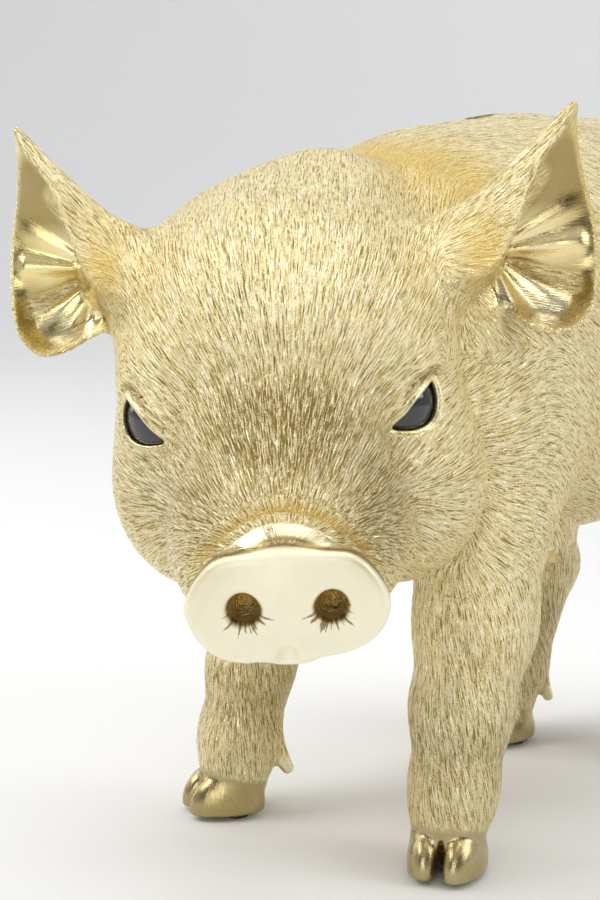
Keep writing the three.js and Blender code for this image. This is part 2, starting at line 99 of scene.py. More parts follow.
@dataclass(frozen=True)
class HeadAxes:
    """The head's own axes: +X to the piglet's left cheek, -Y along the snout, +Z up.

    Attributes:
        yaw: Turn towards the left shoulder, degrees.
        roll: How far the left cheek is lifted, degrees.
        skull: The point that the head turns about, in the body's axes.
    """

    yaw: float = 44.0
    roll: float = 2.6
    skull: tuple[float, float, float] = (0.0, -13.0, 130.0)

    def matrix(self) -> Array:
        """Works out the turn from head axes to body axes.

        Returns:
            A 3 by 3 rotation.
        """
        yaw = Matrix.Rotation(math.radians(self.yaw), 3, "Z")
        roll = Matrix.Rotation(math.radians(-self.roll), 3, "Y")
        return np.array(yaw @ roll)

    def to_head(self, points: Array) -> Array:
        """Takes points from body axes to head axes."""
        centre = np.array(self.skull)
        return (points - centre) @ self.matrix() + np.array([0.0, 0.0, centre[2]])

    def to_body(self, points: Array) -> Array:
        """Takes points from head axes to body axes."""
        centre = np.array(self.skull)
        return (points - np.array([0.0, 0.0, centre[2]])) @ self.matrix().T + centre

    def turn(self, vectors: Array) -> Array:
        """Turns directions from head axes to body axes."""
        return vectors @ self.matrix().T


PLACEMENT = Placement()
HEAD_AXES = HeadAxes()

# ------------------------------------------------------------------ modelling clay


def smooth_min(a: Array, b: Array, k: float) -> Array:
    """Joins two distance fields with a fillet of about `k` millimetres."""
    h = np.clip(0.5 + 0.5 * (b - a) / k, 0.0, 1.0)
    return b + (a - b) * h - k * h * (1.0 - h)


def smooth_max(a: Array, b: Array, k: float) -> Array:
    """Cuts one distance field by another with a rounded edge of about `k` millimetres."""
    return -smooth_min(-a, -b, k)


def blend(value: Array, low: float, high: float) -> Array:
    """Rises smoothly from 0 at `low` to 1 at `high`."""
    t = np.clip((value - low) / (high - low), 0.0, 1.0)
    return t * t * (3.0 - 2.0 * t)


@dataclass(frozen=True)
class Lump:
    """An ellipsoid of clay.

    Attributes:
        centre: Its middle, millimetres.
        radii: Its half axes, millimetres.
        fillet: How softly it joins what is already there.
        tilt: Turn about the X, Y and Z axes, degrees.
    """

    centre: tuple[float, float, float]
    radii: tuple[float, float, float]
    fillet: float = 12.0
    tilt: tuple[float, float, float] = (0.0, 0.0, 0.0)

    def distance(self, p: Array) -> Array:
        """Signed distance from the lump's surface."""
        q = p - np.array(self.centre, dtype=p.dtype)
        if any(self.tilt):
            turn = Matrix.Identity(3)
            for angle, axis in zip(self.tilt, "XYZ"):
                turn = Matrix.Rotation(math.radians(angle), 3, axis) @ turn
            q = q @ np.array(turn, dtype=p.dtype)
        radii = np.array(self.radii, dtype=p.dtype)
        near = np.sqrt(((q / radii) ** 2).sum(axis=1)) + 1e-6
        steep = np.sqrt(((q / radii**2) ** 2).sum(axis=1)) + 1e-9
        return near * (near - 1.0) / steep

    def box(self) -> tuple[Array, Array]:
        """A box that holds the lump and its fillet."""
        reach = (max(self.radii) if any(self.tilt) else np.array(self.radii)) + self.fillet + 8.0
        return np.array(self.centre) - reach, np.array(self.centre) + reach


@dataclass(frozen=True)
class Limb:
    """A round cone of clay between two joints.

    Attributes:
        start: First joint, millimetres.
        end: Second joint, millimetres.
        radii: Radius at each joint.
        fillet: How softly it joins what is already there.
        flatten: Squeeze along Y, under 1 for a limb deeper than it is wide.
    """

    start: tuple[float, float, float]
    end: tuple[float, float, float]
    radii: tuple[float, float]
    fillet: float = 5.0
    flatten: float = 1.0

    def distance(self, p: Array) -> Array:
        """Signed distance from the limb's surface."""
        a = np.array(self.start, dtype=p.dtype)
        axis = np.array(self.end, dtype=p.dtype) - a
        q = p - a
        t = np.clip(q @ axis / (axis @ axis), 0.0, 1.0)
        away = q - t[:, None] * axis
        away[:, 1] *= self.flatten
        radius = self.radii[0] + (self.radii[1] - self.radii[0]) * t
        return np.sqrt((away**2).sum(axis=1)) - radius

    def box(self) -> tuple[Array, Array]:
        """A box that holds the limb and its fillet."""
        reach = max(self.radii) / min(self.flatten, 1.0) + self.fillet + 8.0
        ends = np.array([self.start, self.end])
        return ends.min(axis=0) - reach, ends.max(axis=0) + reach


def add_clay(field_values: Array, points: Array, pieces: Iterable[Lump | Limb]) -> Array:
    """Joins pieces of clay to a distance field, each only where it can reach.

    Args:
        field_values: Signed distances so far.
        points: Where they were measured, in the pieces' own axes.
        pieces: The clay to add, in order.

    Returns:
        The same array, changed.
    """
    for piece in pieces:
        low, high = piece.box()
        near = np.flatnonzero(((points > low) & (points < high)).all(axis=1))
        if near.size:
            distance = piece.distance(points[near])
            field_values[near] = smooth_min(field_values[near], distance, piece.fillet)
    return field_values


def carve(field_values: Array, points: Array, pieces: Iterable[Lump | Limb]) -> Array:
    """Cuts pieces out of a distance field, each only where it can reach.

    Args:
        field_values: Signed distances so far.
        points: Where they were measured, in the pieces' own axes.
        pieces: The shapes to cut away, in order.

    Returns:
        The same array, changed.
    """
    for piece in pieces:
        low, high = piece.box()
        near = np.flatnonzero(((points > low) & (points < high)).all(axis=1))
        if near.size:
            distance = piece.distance(points[near])
            field_values[near] = smooth_max(field_values[near], -distance, piece.fillet)
    return field_values


def rounded_outline(corners: Sequence[tuple[float, float]], steps: int = 5) -> Array:
    """Runs a closed smooth curve through a few given corners.

    Args:
        corners: The points that the outline passes through.
        steps: Short segments between two corners.

    Returns:
        The curve's points, one row each.
    """
    ring = np.array(corners, dtype=float)
    before, after, beyond = np.roll(ring, 1, 0), np.roll(ring, -1, 0), np.roll(ring, -2, 0)
    rows = []
    for t in np.arange(steps) / steps:
        rows.append(
            0.5
            * (
                2 * ring
                + (after - before) * t
                + (2 * before - 5 * ring + 4 * after - beyond) * t**2
                + (3 * ring - before - 3 * after + beyond) * t**3
            )
        )
    return np.stack(rows, axis=1).reshape(-1, 2)


def outline_distance(flat: Array, outline: Array) -> Array:
    """Signed distance from a closed outline in its own plane, below 0 inside it.

    Args:
        flat: Points in the plane, one row each.
        outline: The outline's points, in order.

    Returns:
        One distance for each point.
    """
    nearest = np.full(len(flat), np.inf)
    inside = np.zeros(len(flat), dtype=bool)
    for a, b in zip(outline, np.roll(outline, -1, 0)):
        edge = b - a
        rel = flat - a
        t = np.clip(rel @ edge / (edge @ edge), 0.0, 1.0)
        away = rel - t[:, None] * edge
        nearest = np.minimum(nearest, (away**2).sum(axis=1))
        crosses = (a[1] > flat[:, 1]) != (b[1] > flat[:, 1])
        rise = b[1] - a[1] if b[1] != a[1] else 1e-9
        inside ^= crosses & (flat[:, 0] < (b[0] - a[0]) * (flat[:, 1] - a[1]) / rise + a[0])
    return np.where(inside, -1.0, 1.0) * np.sqrt(nearest)


# ------------------------------------------------------------------ the piglet's form


@dataclass(frozen=True)
class Foot:
    """One leg and its trotter.

    Attributes:
        x: Sideways place of the foot.
        y: Fore-and-aft place of the foot.
        toe: Turn of the trotter, degrees towards the piglet's left.
        hind: Whether it is a hind leg.
        lean: How far the upper leg stands back towards the left, millimetres.
        girth: Thickness of the foreleg against a plain one.
    """

    x: float
    y: float
    toe: float
    hind: bool
    lean: float = 0.0
    girth: float = 1.0

    def bones(self) -> list[Limb | Lump]:
        """The clay of the leg, from the shoulder or ham down to the pastern."""
        x, y = self.x, self.y
        inward = -math.copysign(1.0, x)
        if self.hind:
            return [
                Lump((x + 5 * inward, y + 8, 104), (20, 31, 36), 14.0, (-14, 0, 0)),
                Limb((x + 1 * inward, y + 4, 86), (x, y + 17, 57), (19, 12), 8.0),
                Limb((x, y + 18, 54), (x, y + 6, 26), (10.6, 9.4), 5.0),
                Lump((x, y + 23, 54), (6.5, 6, 10), 6.0, (-18, 0, 0)),
                Limb((x, y + 5, 25), (x, y + 0, 10), (10.2, 8.6), 4.0),
            ]
        k, g = self.lean, self.girth
        return [
            Lump((x + 3 * inward + k, y + 15 + k, 112), (19, 25, 36), 14.0, (10, 0, 0)),
            Limb((x + 1 * inward + k, y + 12 + k, 90), (x + k, y + 9 + k, 64), (17.5 * g, 15.4 * g), 8.0),
            Limb((x + k, y + 9 + k, 64), (x + 0.4 * k, y + 4 + 0.4 * k, 42), (15.2 * g, 12.8 * g), 5.0),
            Limb((x + 0.4 * k, y + 4 + 0.4 * k, 42), (x, y + 1, 20), (12.6 * g, 10.9), 5.0),
            Limb((x, y + 1, 22), (x, y - 1, 10), (11.2, 9.6), 4.0),
        ]

    def local(self, p: Array) -> Array:
        """Takes points to the trotter's own axes, toes along -Y."""
        turn = np.array(Matrix.Rotation(math.radians(self.toe), 3, "Z"), dtype=p.dtype)
        return (p - np.array([self.x, self.y, 0.0], dtype=p.dtype)) @ turn

    def claws(self) -> list[Lump | Limb]:
        """The two claws, in the trotter's own axes."""
        claws: list[Lump | Limb] = []
        for side in Side:
            s = side.value
            claws.append(Lump((4.9 * s, -4.2, 3.6), (5.2, 10.8, 9.6), 1.2, (16, 0, -7 * s)))
        return claws

    def dewclaws(self) -> list[Lump | Limb]:
        """The two small claws behind the pastern, in the trotter's own axes."""
        return [Limb((5.6 * s.value, 8.5, 21), (6.6 * s.value, 13.0, 13.0), (3.4, 1.8), 2.2) for s in Side]


FEET = {
    "front_left": Foot(32, 15, 26, False),
    "front_right": Foot(-39.5, 6, -26, False, 2.4, 0.93),
    "rear_left": Foot(28, 137, 4, True),
    "rear_right": Foot(-27, 113, -4, True),
}
SOLE = 1.4


@dataclass(frozen=True)
class Torso:
    """The trunk, neck, legs and trotters, in body axes."""

    trunk: tuple[Lump, ...] = (
        Lump((0, 80, 138), (50.5, 76, 58.5), 10.0),
        Lump((0, 128, 141), (47, 49, 55), 16.0),
        Lump((0, 34, 133), (48, 42, 55), 16.0),
        Lump((2, 6, 130), (41, 32, 50), 16.0),
        Lump((0, 100, 120), (46, 60, 42), 14.0),
    )

    def distance(self, p: Array) -> Array:
        """Signed distance from the torso's skin, with legs and trotters."""
        d = self.trunk[0].distance(p)
        add_clay(d, p, self.trunk[1:])
        for foot in FEET.values():
            add_clay(d, p, foot.bones())
            low = (p[:, 2] < 40) & (abs(p[:, 0] - foot.x) < 24) & (abs(p[:, 1] - foot.y) < 30)
            near = np.flatnonzero(low)
            if near.size:
                local = foot.local(p[near])
                part = add_clay(d[near].copy(), local, foot.claws() + foot.dewclaws())
                gap = Lump((0, -11.5, 0), (1.0, 9.5, 11), 1.2)
                part = carve(part, local, [gap])
                part = smooth_max(part, SOLE - local[:, 2], 0.8)
                d[near] = part
        return d

    def core(self, p: Array) -> Array:
        """Signed distance from the trunk alone."""
        d = self.trunk[0].distance(p)
        return add_clay(d, p, self.trunk[1:4])


@dataclass(frozen=True)
class EyeForm:
    """One eye: a glass ball behind an almond opening with lids.

    Attributes:
        side: Which eye.
        place: Middle of the glass ball, head axes.
        ball: Radius of the glass ball.
        turn: How far the eye looks outwards, degrees.
    """

    side: Side
    place: tuple[float, float, float]
    turn: float
    ball: float = 12.6
    opening: tuple[tuple[float, float], ...] = (
        (7.0, -4.6),
        (2.4, -5.6),
        (-1.7, -5.1),
        (-4.5, -3.4),
        (-5.9, -0.4),
        (-6.0, 2.4),
        (-5.0, 5.3),
        (-2.3, 4.1),
        (1.2, 1.7),
        (4.3, -1.5),
    )

    def centre(self) -> Array:
        """Middle of the glass ball, in head axes."""
        x, y, z = self.place
        return np.array([x * self.side.value, y, z])

    def axes(self) -> tuple[Array, Array, Array]:
        """The eye's directions: towards the nose, up, and out of the ball."""
        a = math.radians(self.turn)
        s = self.side.value
        out = np.array([s * math.sin(a), -math.cos(a), 0.0])
        nose = np.array([-s * math.cos(a), -math.sin(a), 0.0])
        return nose, np.array([0.0, 0.0, 1.0]), out

    def shape(self, d: Array, p: Array) -> Array:
        """Models lids and socket into the head's distance field.

        Args:
            d: Signed distances of the head.
            p: Their points, in head axes.

        Returns:
            The distances, changed near the eye.
        """
        q = p - self.centre()
        reach = np.sqrt((q**2).sum(axis=1))
        near = np.flatnonzero(reach < self.ball + 12)
        if not near.size:
            return d
        q, reach, part = q[near], reach[near], d[near]
        nose, _, out = self.axes()
        ahead, edge, flat = self.laid_out(q)
        upper, outer = self.upper_lid(flat)
        front = ahead > -1.0
        bowl = np.sqrt(((q - (out * 21.6 + nose * 5.0)) ** 2).sum(axis=1)) - 9.6
        part = smooth_max(part, -bowl, 5.0)
        lower = 1.0 - upper
        wide = np.maximum(edge, 0.0)
        rise = self.ball + 1.3 + (0.55 + 0.45 * upper) * wide + 0.06 * wide**2
        part = np.where(front, smooth_max(part, reach - rise, 1.5), part)
        part = smooth_min(part, reach - (self.ball + 1.2), 2.0)
        groove = np.exp(-(((edge - 2.5) / 1.0) ** 2)) * outer
        part = np.where(front, part + 1.2 * groove, part)
        part = smooth_min(part, reach - (self.ball + 0.8), 0.5)
        fold = np.hypot(edge - 2.3, reach - (self.ball + 1.1)) - 0.8 * lower
        part = np.where(front, smooth_min(part, fold, 0.6), part)
        hollow = np.maximum(np.maximum(edge, 6.5 - ahead), self.ball - 0.3 - reach)
        part = smooth_max(part, -hollow, 0.5)
        rim = np.hypot(edge - 0.5, reach - (self.ball + 0.9)) - 0.66
        part = np.where(front, smooth_min(part, rim, 0.4), part)
        part = np.maximum(part, -(reach - self.ball - 0.1))
        d[near] = part
        return d

    def laid_out(self, q: Array) -> tuple[Array, Array, Array]:
        """Lays points out against the opening between the lids.

        Args:
            q: Points from the middle of the ball, in head axes.

        Returns:
            How far ahead of the middle each point is, how far outside the
            opening's edge, and its place along the nose and up.
        """
        nose, up, out = self.axes()
        flat = np.stack([q @ nose, q @ up], axis=1)
        return q @ out, outline_distance(flat, rounded_outline(self.opening, 3)), flat

    def upper_lid(self, flat: Array) -> tuple[Array, Array]:
        """Says which points belong to the upper lid.

        Args:
            flat: Places along the nose and up, from the middle of the ball.

        Returns:
            The share of the upper lid, and of its outer part, 0 to 1.
        """
        upper = blend(flat[:, 1] + 0.9 * flat[:, 0], -3.0, 3.0)
        return upper, upper * blend(6.0 - flat[:, 0], 0.0, 8.0)

    def recess(self, p: Array) -> Array:
        """How strongly painted shade falls on a point in the fold over the upper lid, 0 to 1."""
        ahead, edge, flat = self.laid_out(p - self.centre())
        _, outer = self.upper_lid(flat)
        return np.exp(-(((edge - 2.2) / 0.8) ** 2)) * outer * (ahead > 0)

    def rim_distance(self, p: Array) -> Array:
        """Distance from the lid's edge, for the polished lid line."""
        q = p - self.centre()
        ahead, edge, _ = self.laid_out(q)
        reach = np.sqrt((q**2).sum(axis=1))
        return np.where(ahead > 0, np.hypot(edge, np.maximum(reach - self.ball - 2.2, 0.0)), 99.0)


@dataclass(frozen=True)
class EarForm:
    """One ear: a cupped leaf with its front edge folded over, in head axes.

    Attributes:
        side: Which ear.
        leaf: Outline seen from the front, as (x, z) from the head's middle.
        flap: Outline of the folded front edge.
        crest: The folded upper edge, as two points.
        base: Where the folds fan out from.
        depth: Fore-and-aft place of the crest.
        thickness: Half thickness of the leaf.
        root_x: Sideways place of the root, from the head's middle.
        shift: How far both ears stand towards the left.
        spread: How much wider the left ear is set than an even pair.
    """

    side: Side
    leaf: tuple[tuple[float, float], ...] = (
        (34.0, 164.5),
        (43.0, 170.0),
        (51.0, 177.0),
        (59.0, 184.8),
        (66.2, 191.8),
        (67.4, 184.0),
        (69.0, 174.5),
        (71.2, 165.5),
        (72.0, 157.0),
        (71.4, 148.5),
        (68.4, 140.8),
        (63.6, 136.6),
        (57.6, 136.8),
        (51.6, 139.4),
        (45.0, 142.4),
        (37.0, 147.0),
        (32.0, 154.0),
    )
    flap: tuple[tuple[float, float], ...] = (
        (34.0, 164.5),
        (43.0, 170.0),
        (51.0, 177.0),
        (59.0, 184.8),
        (65.8, 191.2),
        (64.2, 185.4),
        (59.6, 179.6),
        (55.9, 172.4),
        (53.6, 165.6),
        (51.0, 159.0),
        (47.6, 153.2),
        (41.0, 150.5),
        (33.0, 154.0),
    )
    crest: tuple[tuple[float, float], tuple[float, float]] = ((36.0, 165.0), (66.0, 191.6))
    base: tuple[float, float] = (47.0, 157.0)
    depth: float = -17.5
    thickness: float = 1.5
    root_x: float = 35.6
    shift: float = 2.8
    spread: float = 0.079

    def flat(self, p: Array) -> Array:
        """The points as seen from the front, as if on an even left side."""
        s = self.side.value
        away = p[:, 0] * s - self.root_x - self.shift * s
        return np.stack([self.root_x + away / (1.0 + self.spread * s), p[:, 2]], axis=1)

    def behind_crest(self, flat: Array) -> Array:
        """How far a point lies below and outside the folded crest."""
        a, b = np.array(self.crest[0]), np.array(self.crest[1])
        axis = (b - a) / np.linalg.norm(b - a)
        normal = np.array([axis[1], -axis[0]])
        return (flat - a) @ normal

    def sheet(self, flat: Array, leaf: Array) -> Array:
        """Fore-and-aft place of the leaf's middle.

        Args:
            flat: Points as seen from the front.
            leaf: Their distances from the leaf's outline.

        Returns:
            The leaf's Y at each point.
        """
        s = self.behind_crest(flat)
        span = np.clip(s / 44.0, 0.0, 1.0)
        cup = 9.5 * np.sin(span * math.pi)
        curl = -4.5 * blend(leaf, -5.5, 0.5) * blend(-flat[:, 1], -152.0, -142.0)
        return self.depth + cup + curl

    def folds(self, flat: Array) -> Array:
        """Height of the folds that fan out from the ear's root.

        Args:
            flat: Points as seen from the front.

        Returns:
            Forward height of the folds in millimetres.
        """
        rel = flat - np.array(self.base)
        angle = np.arctan2(rel[:, 1], rel[:, 0])
        reach = np.hypot(rel[:, 0], rel[:, 1])
        wave = np.sin(angle * 5.0 + 0.6) + 0.5 * np.sin(angle * 9.0 + 1.9) + 0.25 * np.sin(angle * 17.0)
        return 1.25 * wave * blend(reach, 2.0, 9.0) * (1.0 - blend(reach, 20.0, 30.0))

    def distance(self, p: Array) -> Array:
        """Signed distance from the ear's skin."""
        flat = self.flat(p)
        leaf = outline_distance(flat, rounded_outline(self.leaf, 3))
        flap = outline_distance(flat, rounded_outline(self.flap, 3))
        half = self.thickness * (0.75 + 0.5 * blend(-leaf, 0.0, 8.0))
        middle = self.sheet(flat, leaf)
        front = p[:, 1] - (middle - half)
        back = (middle + half) - p[:, 1]
        front = front + self.folds(flat) * blend(-leaf, 1.0, 5.0)
        slab = -np.minimum(front, back) * 0.85
        body = smooth_max(slab, leaf + 0.3, 1.6)
        s = np.clip(self.behind_crest(flat), 0.0, 20.0)
        fold = self.depth + 1.0 - 0.62 * s + 0.012 * s**2
        lip = smooth_max(np.abs(p[:, 1] - fold) * 0.8 - 1.35, flap + 0.2, 1.4)
        return smooth_min(body, lip, 2.0)

    def root(self) -> list[Lump | Limb]:
        """The clay that carries the ear into the head."""
        s = self.side.value
        m = self.shift
        return [
            Limb((29 * s + m, -9, 150), (43 * s + m, -14.5, 156), (14, 8.5), 9.0),
            Limb((33 * s + m, -8, 156.5), (47 * s + m, -14, 167), (7, 3.2), 5.0),
        ]


@dataclass(frozen=True)
class Head:
    """The head, in head axes."""

    skull: tuple[Lump, ...] = (
        Lump((2.4, 4, 136), (45.0, 42, 43.8), 10.0),
        Lump((14.0, 10, 146), (30.0, 30, 38.0), 10.0),
        Lump((1.0, -20, 133), (39.0, 27, 37), 12.0),
        Lump((0.4, -36, 108), (25, 23, 22), 12.0, (20, 0, 0)),
    )
    cheek: tuple[tuple[float, float, float], tuple[float, float, float]] = ((22.0, -9, 105), (24.5, 33, 28))
    brow: tuple[tuple[float, float, float], tuple[float, float, float]] = ((27, -27, 134), (11, 9, 6))
    lean: float = 2.8
    eyes: tuple[EyeForm, EyeForm] = (
        EyeForm(Side.LEFT, (23.6, -27.3, 123.4), 36.0),
        EyeForm(Side.RIGHT, (24.8, -27.8, 122.4), 42.0),
    )
    ears: tuple[EarForm, EarForm] = (EarForm(Side.LEFT), EarForm(Side.RIGHT))
    disc: tuple[float, float, float] = (0.5, -79.5, 88.4)
    disc_size: tuple[float, float] = (21.4, 11.3)
    disc_edge: tuple[tuple[float, float], ...] = (
        (0.0, 11.1),
        (9.6, 11.4),
        (15.0, 10.2),
        (19.1, 5.9),
        (21.3, 0.2),
        (20.6, -4.2),
        (17.6, -8.2),
        (13.0, -10.6),
        (7.4, -11.7),
        (3.2, -11.4),
        (-0.4, -10.9),
        (-4.0, -12.0),
        (-9.8, -12.5),
        (-15.2, -11.0),
        (-19.2, -7.2),
        (-21.4, -2.2),
        (-21.4, 1.0),
        (-19.3, 5.7),
        (-15.0, 10.2),
        (-9.4, 11.4),
    )
    disc_lean: float = 7.0
    nostril: float = 9.1

    def cheeks(self) -> list[Lump | Limb]:
        """The clay of the cheeks and brows."""
        (cx, cy, cz), cheek = self.cheek
        (bx, by, bz), brow = self.brow
        clay: list[Lump | Limb] = []
        for side in Side:
            s = side.value
            clay.append(Lump((cx * s + self.lean, cy, cz), cheek, 10.0))
            clay.append(Lump((bx * s, by, bz), brow, 8.0, (0, 34 * s, 0)))
            clay.append(Lump((13.0 * s + 0.8, -50, 94.5), (14.5, 16, 12.5), 6.0))
        return clay

    def muzzle(self) -> list[Lump | Limb]:
        """The clay of the snout, lips and jaw."""
        return [
            Limb((0, -42, 105), (0, -70, 93), (23, 14.5), 12.0),
            Lump((0, -64, 90.5), (21.5, 17, 13.5), 8.0),
            Limb((0, -10, 94), (0, -60, 85), (19.5, 12.0), 10.0),
            Lump((0.6, -73.5, 78.0), (8.5, 8.5, 4.0), 2.5),
        ]

    def disc_axes(self, p: Array) -> Array:
        """Takes points to the snout disc's own axes, its face along -Y."""
        lean = np.array(Matrix.Rotation(math.radians(self.disc_lean), 3, "X"), dtype=p.dtype)
        return (p - np.array(self.disc, dtype=p.dtype)) @ lean

    def disc_distance(self, p: Array) -> Array:
        """Signed distance from the snout disc."""
        q = self.disc_axes(p)
        side = outline_distance(q[:, [0, 2]], rounded_outline(self.disc_edge, 4))
        dish = 0.5 * np.exp(-(((side + 5.0) / 3.0) ** 2))
        face = -(q[:, 1] + 3.6 - dish)
        back = q[:, 1] - 3.4
        return smooth_max(smooth_max(side, face, 2.8), back, 3.0)

    def distance(self, p: Array) -> Array:
        """Signed distance from the head's skin, with eyes and ears."""
        d = self.skull[0].distance(p)
        add_clay(d, p, self.skull[1:])
        add_clay(d, p, self.cheeks())
        add_clay(d, p, self.muzzle())
        near = np.flatnonzero((p[:, 1] < -60) & (np.abs(p[:, 0]) < 34))
        if near.size:
            d[near] = self.snout(d[near], p[near])
        for eye in self.eyes:
            eye.shape(d, p)
        for ear in self.ears:
            s = ear.side.value
            add_clay(d, p, ear.root())
            near = np.flatnonzero((p[:, 0] * s > 24) & (p[:, 2] > 128) & (np.abs(p[:, 1] + 15) < 30))
            if near.size:
                d[near] = smooth_min(d[near], ear.distance(p[near]), 3.0)
        return d

    def snout(self, d: Array, p: Array) -> Array:
        """Models the disc, its nostrils and the folds behind it.

        Args:
            d: Signed distances of the muzzle.
            p: Their points, in head axes.

        Returns:
            The new distances.
        """
        d = smooth_min(d, self.disc_distance(p), 1.8)
        q = self.disc_axes(p)
        ring = np.hypot(q[:, 0] / self.disc_size[0], q[:, 2] / self.disc_size[1])
        back = np.clip(q[:, 1], -5, 20)
        ripple = np.cos((back - 5.1) / 4.6 * 2 * math.pi) * blend(back, 3.0, 6.0) * (1 - blend(back, 10.0, 17.0))
        d = d - 0.55 * ripple * blend(q[:, 2], -2.0, 7.0) * (ring < 2.2)
        for side in Side:
            s = side.value
            nostril = Lump((self.nostril * s, -3.6, -0.2), (3.5, 8.5, 3.6), 1.6, (0, 24 * s, 0))
            d = carve(d, q, [nostril])
        notch = Lump((-0.4, -4.6, -11.8), (2.4, 5.0, 3.6), 2.4)
        return carve(d, q, [notch])

    def core(self, p: Array) -> Array:
        """Signed distance from the head without ears, eyes and snout disc."""
        d = self.skull[0].distance(p)
        add_clay(d, p, self.skull[1:])
        return add_clay(d, p, self.muzzle()[:1])


@dataclass(frozen=True)
class NeckJoint:
    """Where the head casting sits against the body halves.

    Attributes:
        point: A point on the joint face, body axes.
        yaw: Which way the face looks, degrees from straight ahead.
        throat: Height of the head casting's underside.
        web: Wall on each side of the face.
        bore: Radius of the passage through it.
    """

    point: tuple[float, float, float] = (0.0, 7.0, 130.0)
    yaw: float = 21.5
    throat: float = 81.0
    web: float = 5.0
    bore: float = 17.0

    def ahead(self, p: Array) -> Array:
        """How far points lie on the head's side of the face."""
        a = math.radians(self.yaw)
        return (p - np.array(self.point)) @ np.array([math.sin(a), -math.cos(a), 0.0])

    def room(self, p: Array) -> Array:
        """Signed distance from the head casting's room, below 0 inside it."""
        return np.maximum(-self.ahead(p), self.throat - p[:, 2])

    def passage(self, p: Array) -> Array:
        """Signed distance from the passage between head and body."""
        ahead = self.ahead(p)
        a = math.radians(self.yaw)
        rel = p - np.array(self.point)
        along = ahead[:, None] * np.array([math.sin(a), -math.cos(a), 0.0])
        radial = np.sqrt(((rel - along) ** 2).sum(axis=1))
        return np.maximum(radial - self.bore, np.abs(ahead) - self.web - 3.0)


TORSO = Torso()
HEAD = Head()
NECK = NeckJoint()


def piglet_distance(p: Array) -> Array:
    """Signed distance from the whole piglet's skin.

    Args:
        p: Points in body axes, one row each.

    Returns:
        One distance for each point, below 0 inside.
    """
    d = TORSO.distance(p)
    near = np.flatnonzero((p[:, 1] < 62) & (p[:, 2] > 64))
    if near.size:
        q = HEAD_AXES.to_head(p[near])
        body, head = d[near], HEAD.distance(q)
        seam = np.exp(-(((body - head) / 2.8) ** 2))
        d[near] = smooth_min(body, head, 3.0) + 1.5 * seam
    return d


# ------------------------------------------------------------------ from clay to a mesh


@dataclass
class Skin:
    """A quad or triangle mesh held as arrays, in body axes and millimetres."""

    points: Array
    quads: Array
    known_edges: Array | None = None

    def normals(self) -> Array:
        """Unit normals of the points, from the faces around them."""
        corners = self.points[self.quads]
        across = np.cross(corners[:, 2] - corners[:, 0], corners[:, 3] - corners[:, 1])
        total = np.zeros_like(self.points)
        for axis in range(3):
            weights = np.repeat(across[:, axis], 4)
            total[:, axis] = np.bincount(self.quads.ravel(), weights, len(self.points))
        length = np.sqrt((total**2).sum(axis=1)) + 1e-12
        return total / length[:, None]

    def edges(self) -> Array:
        """The edges, each once, as pairs of point numbers."""
        if self.known_edges is None:
            after = np.roll(self.quads, -1, 1)
            forward = self.quads < after
            self.known_edges = np.stack([self.quads[forward], after[forward]], axis=1)
        return self.known_edges

    def relax(self, rounds: int, strength: float = 0.5) -> None:
        """Evens out the points towards their neighbours.

        Args:
            rounds: How many times.
            strength: Share of the way to the neighbours' mean.
        """
        ends = self.edges()
        both = np.concatenate([ends, ends[:, ::-1]])
        count = np.bincount(both[:, 0], minlength=len(self.points))
        for _ in range(rounds):
            for axis in range(3):
                column = self.points[:, axis]
                mean = np.bincount(both[:, 0], column[both[:, 1]], len(column)) / count
                self.points[:, axis] = column + strength * (mean - column)

    def subdivide(self) -> "Skin":
        """Splits each quad into four.

        Returns:
            The finer mesh.
        """
        n = len(self.points)
        ends = np.stack([self.quads, np.roll(self.quads, -1, 1)], axis=2).reshape(-1, 2)
        key = ends.min(axis=1).astype(np.int64) * n + ends.max(axis=1)
        unique, where = np.unique(key, return_inverse=True)
        middle = (self.points[unique // n] + self.points[unique % n]) / 2
        centre = self.points[self.quads].mean(axis=1)
        mids = where.reshape(-1, 4) + n
        hearts = np.arange(len(self.quads)) + n + len(unique)
        quads = [
            np.stack([self.quads[:, i], mids[:, i], hearts, mids[:, i - 1]], axis=1) for i in range(4)
        ]
        return Skin(np.concatenate([self.points, middle, centre]), np.concatenate(quads))

    def to_surface(self, distance: Callable[[Array], Array], rounds: int = 2) -> None:
        """Moves the points onto the clay's true surface, along their normals."""
        for _ in range(rounds):
            step = np.clip(distance(self.points.astype(np.float32)), -0.6, 0.6)
            self.points -= self.normals() * step[:, None]


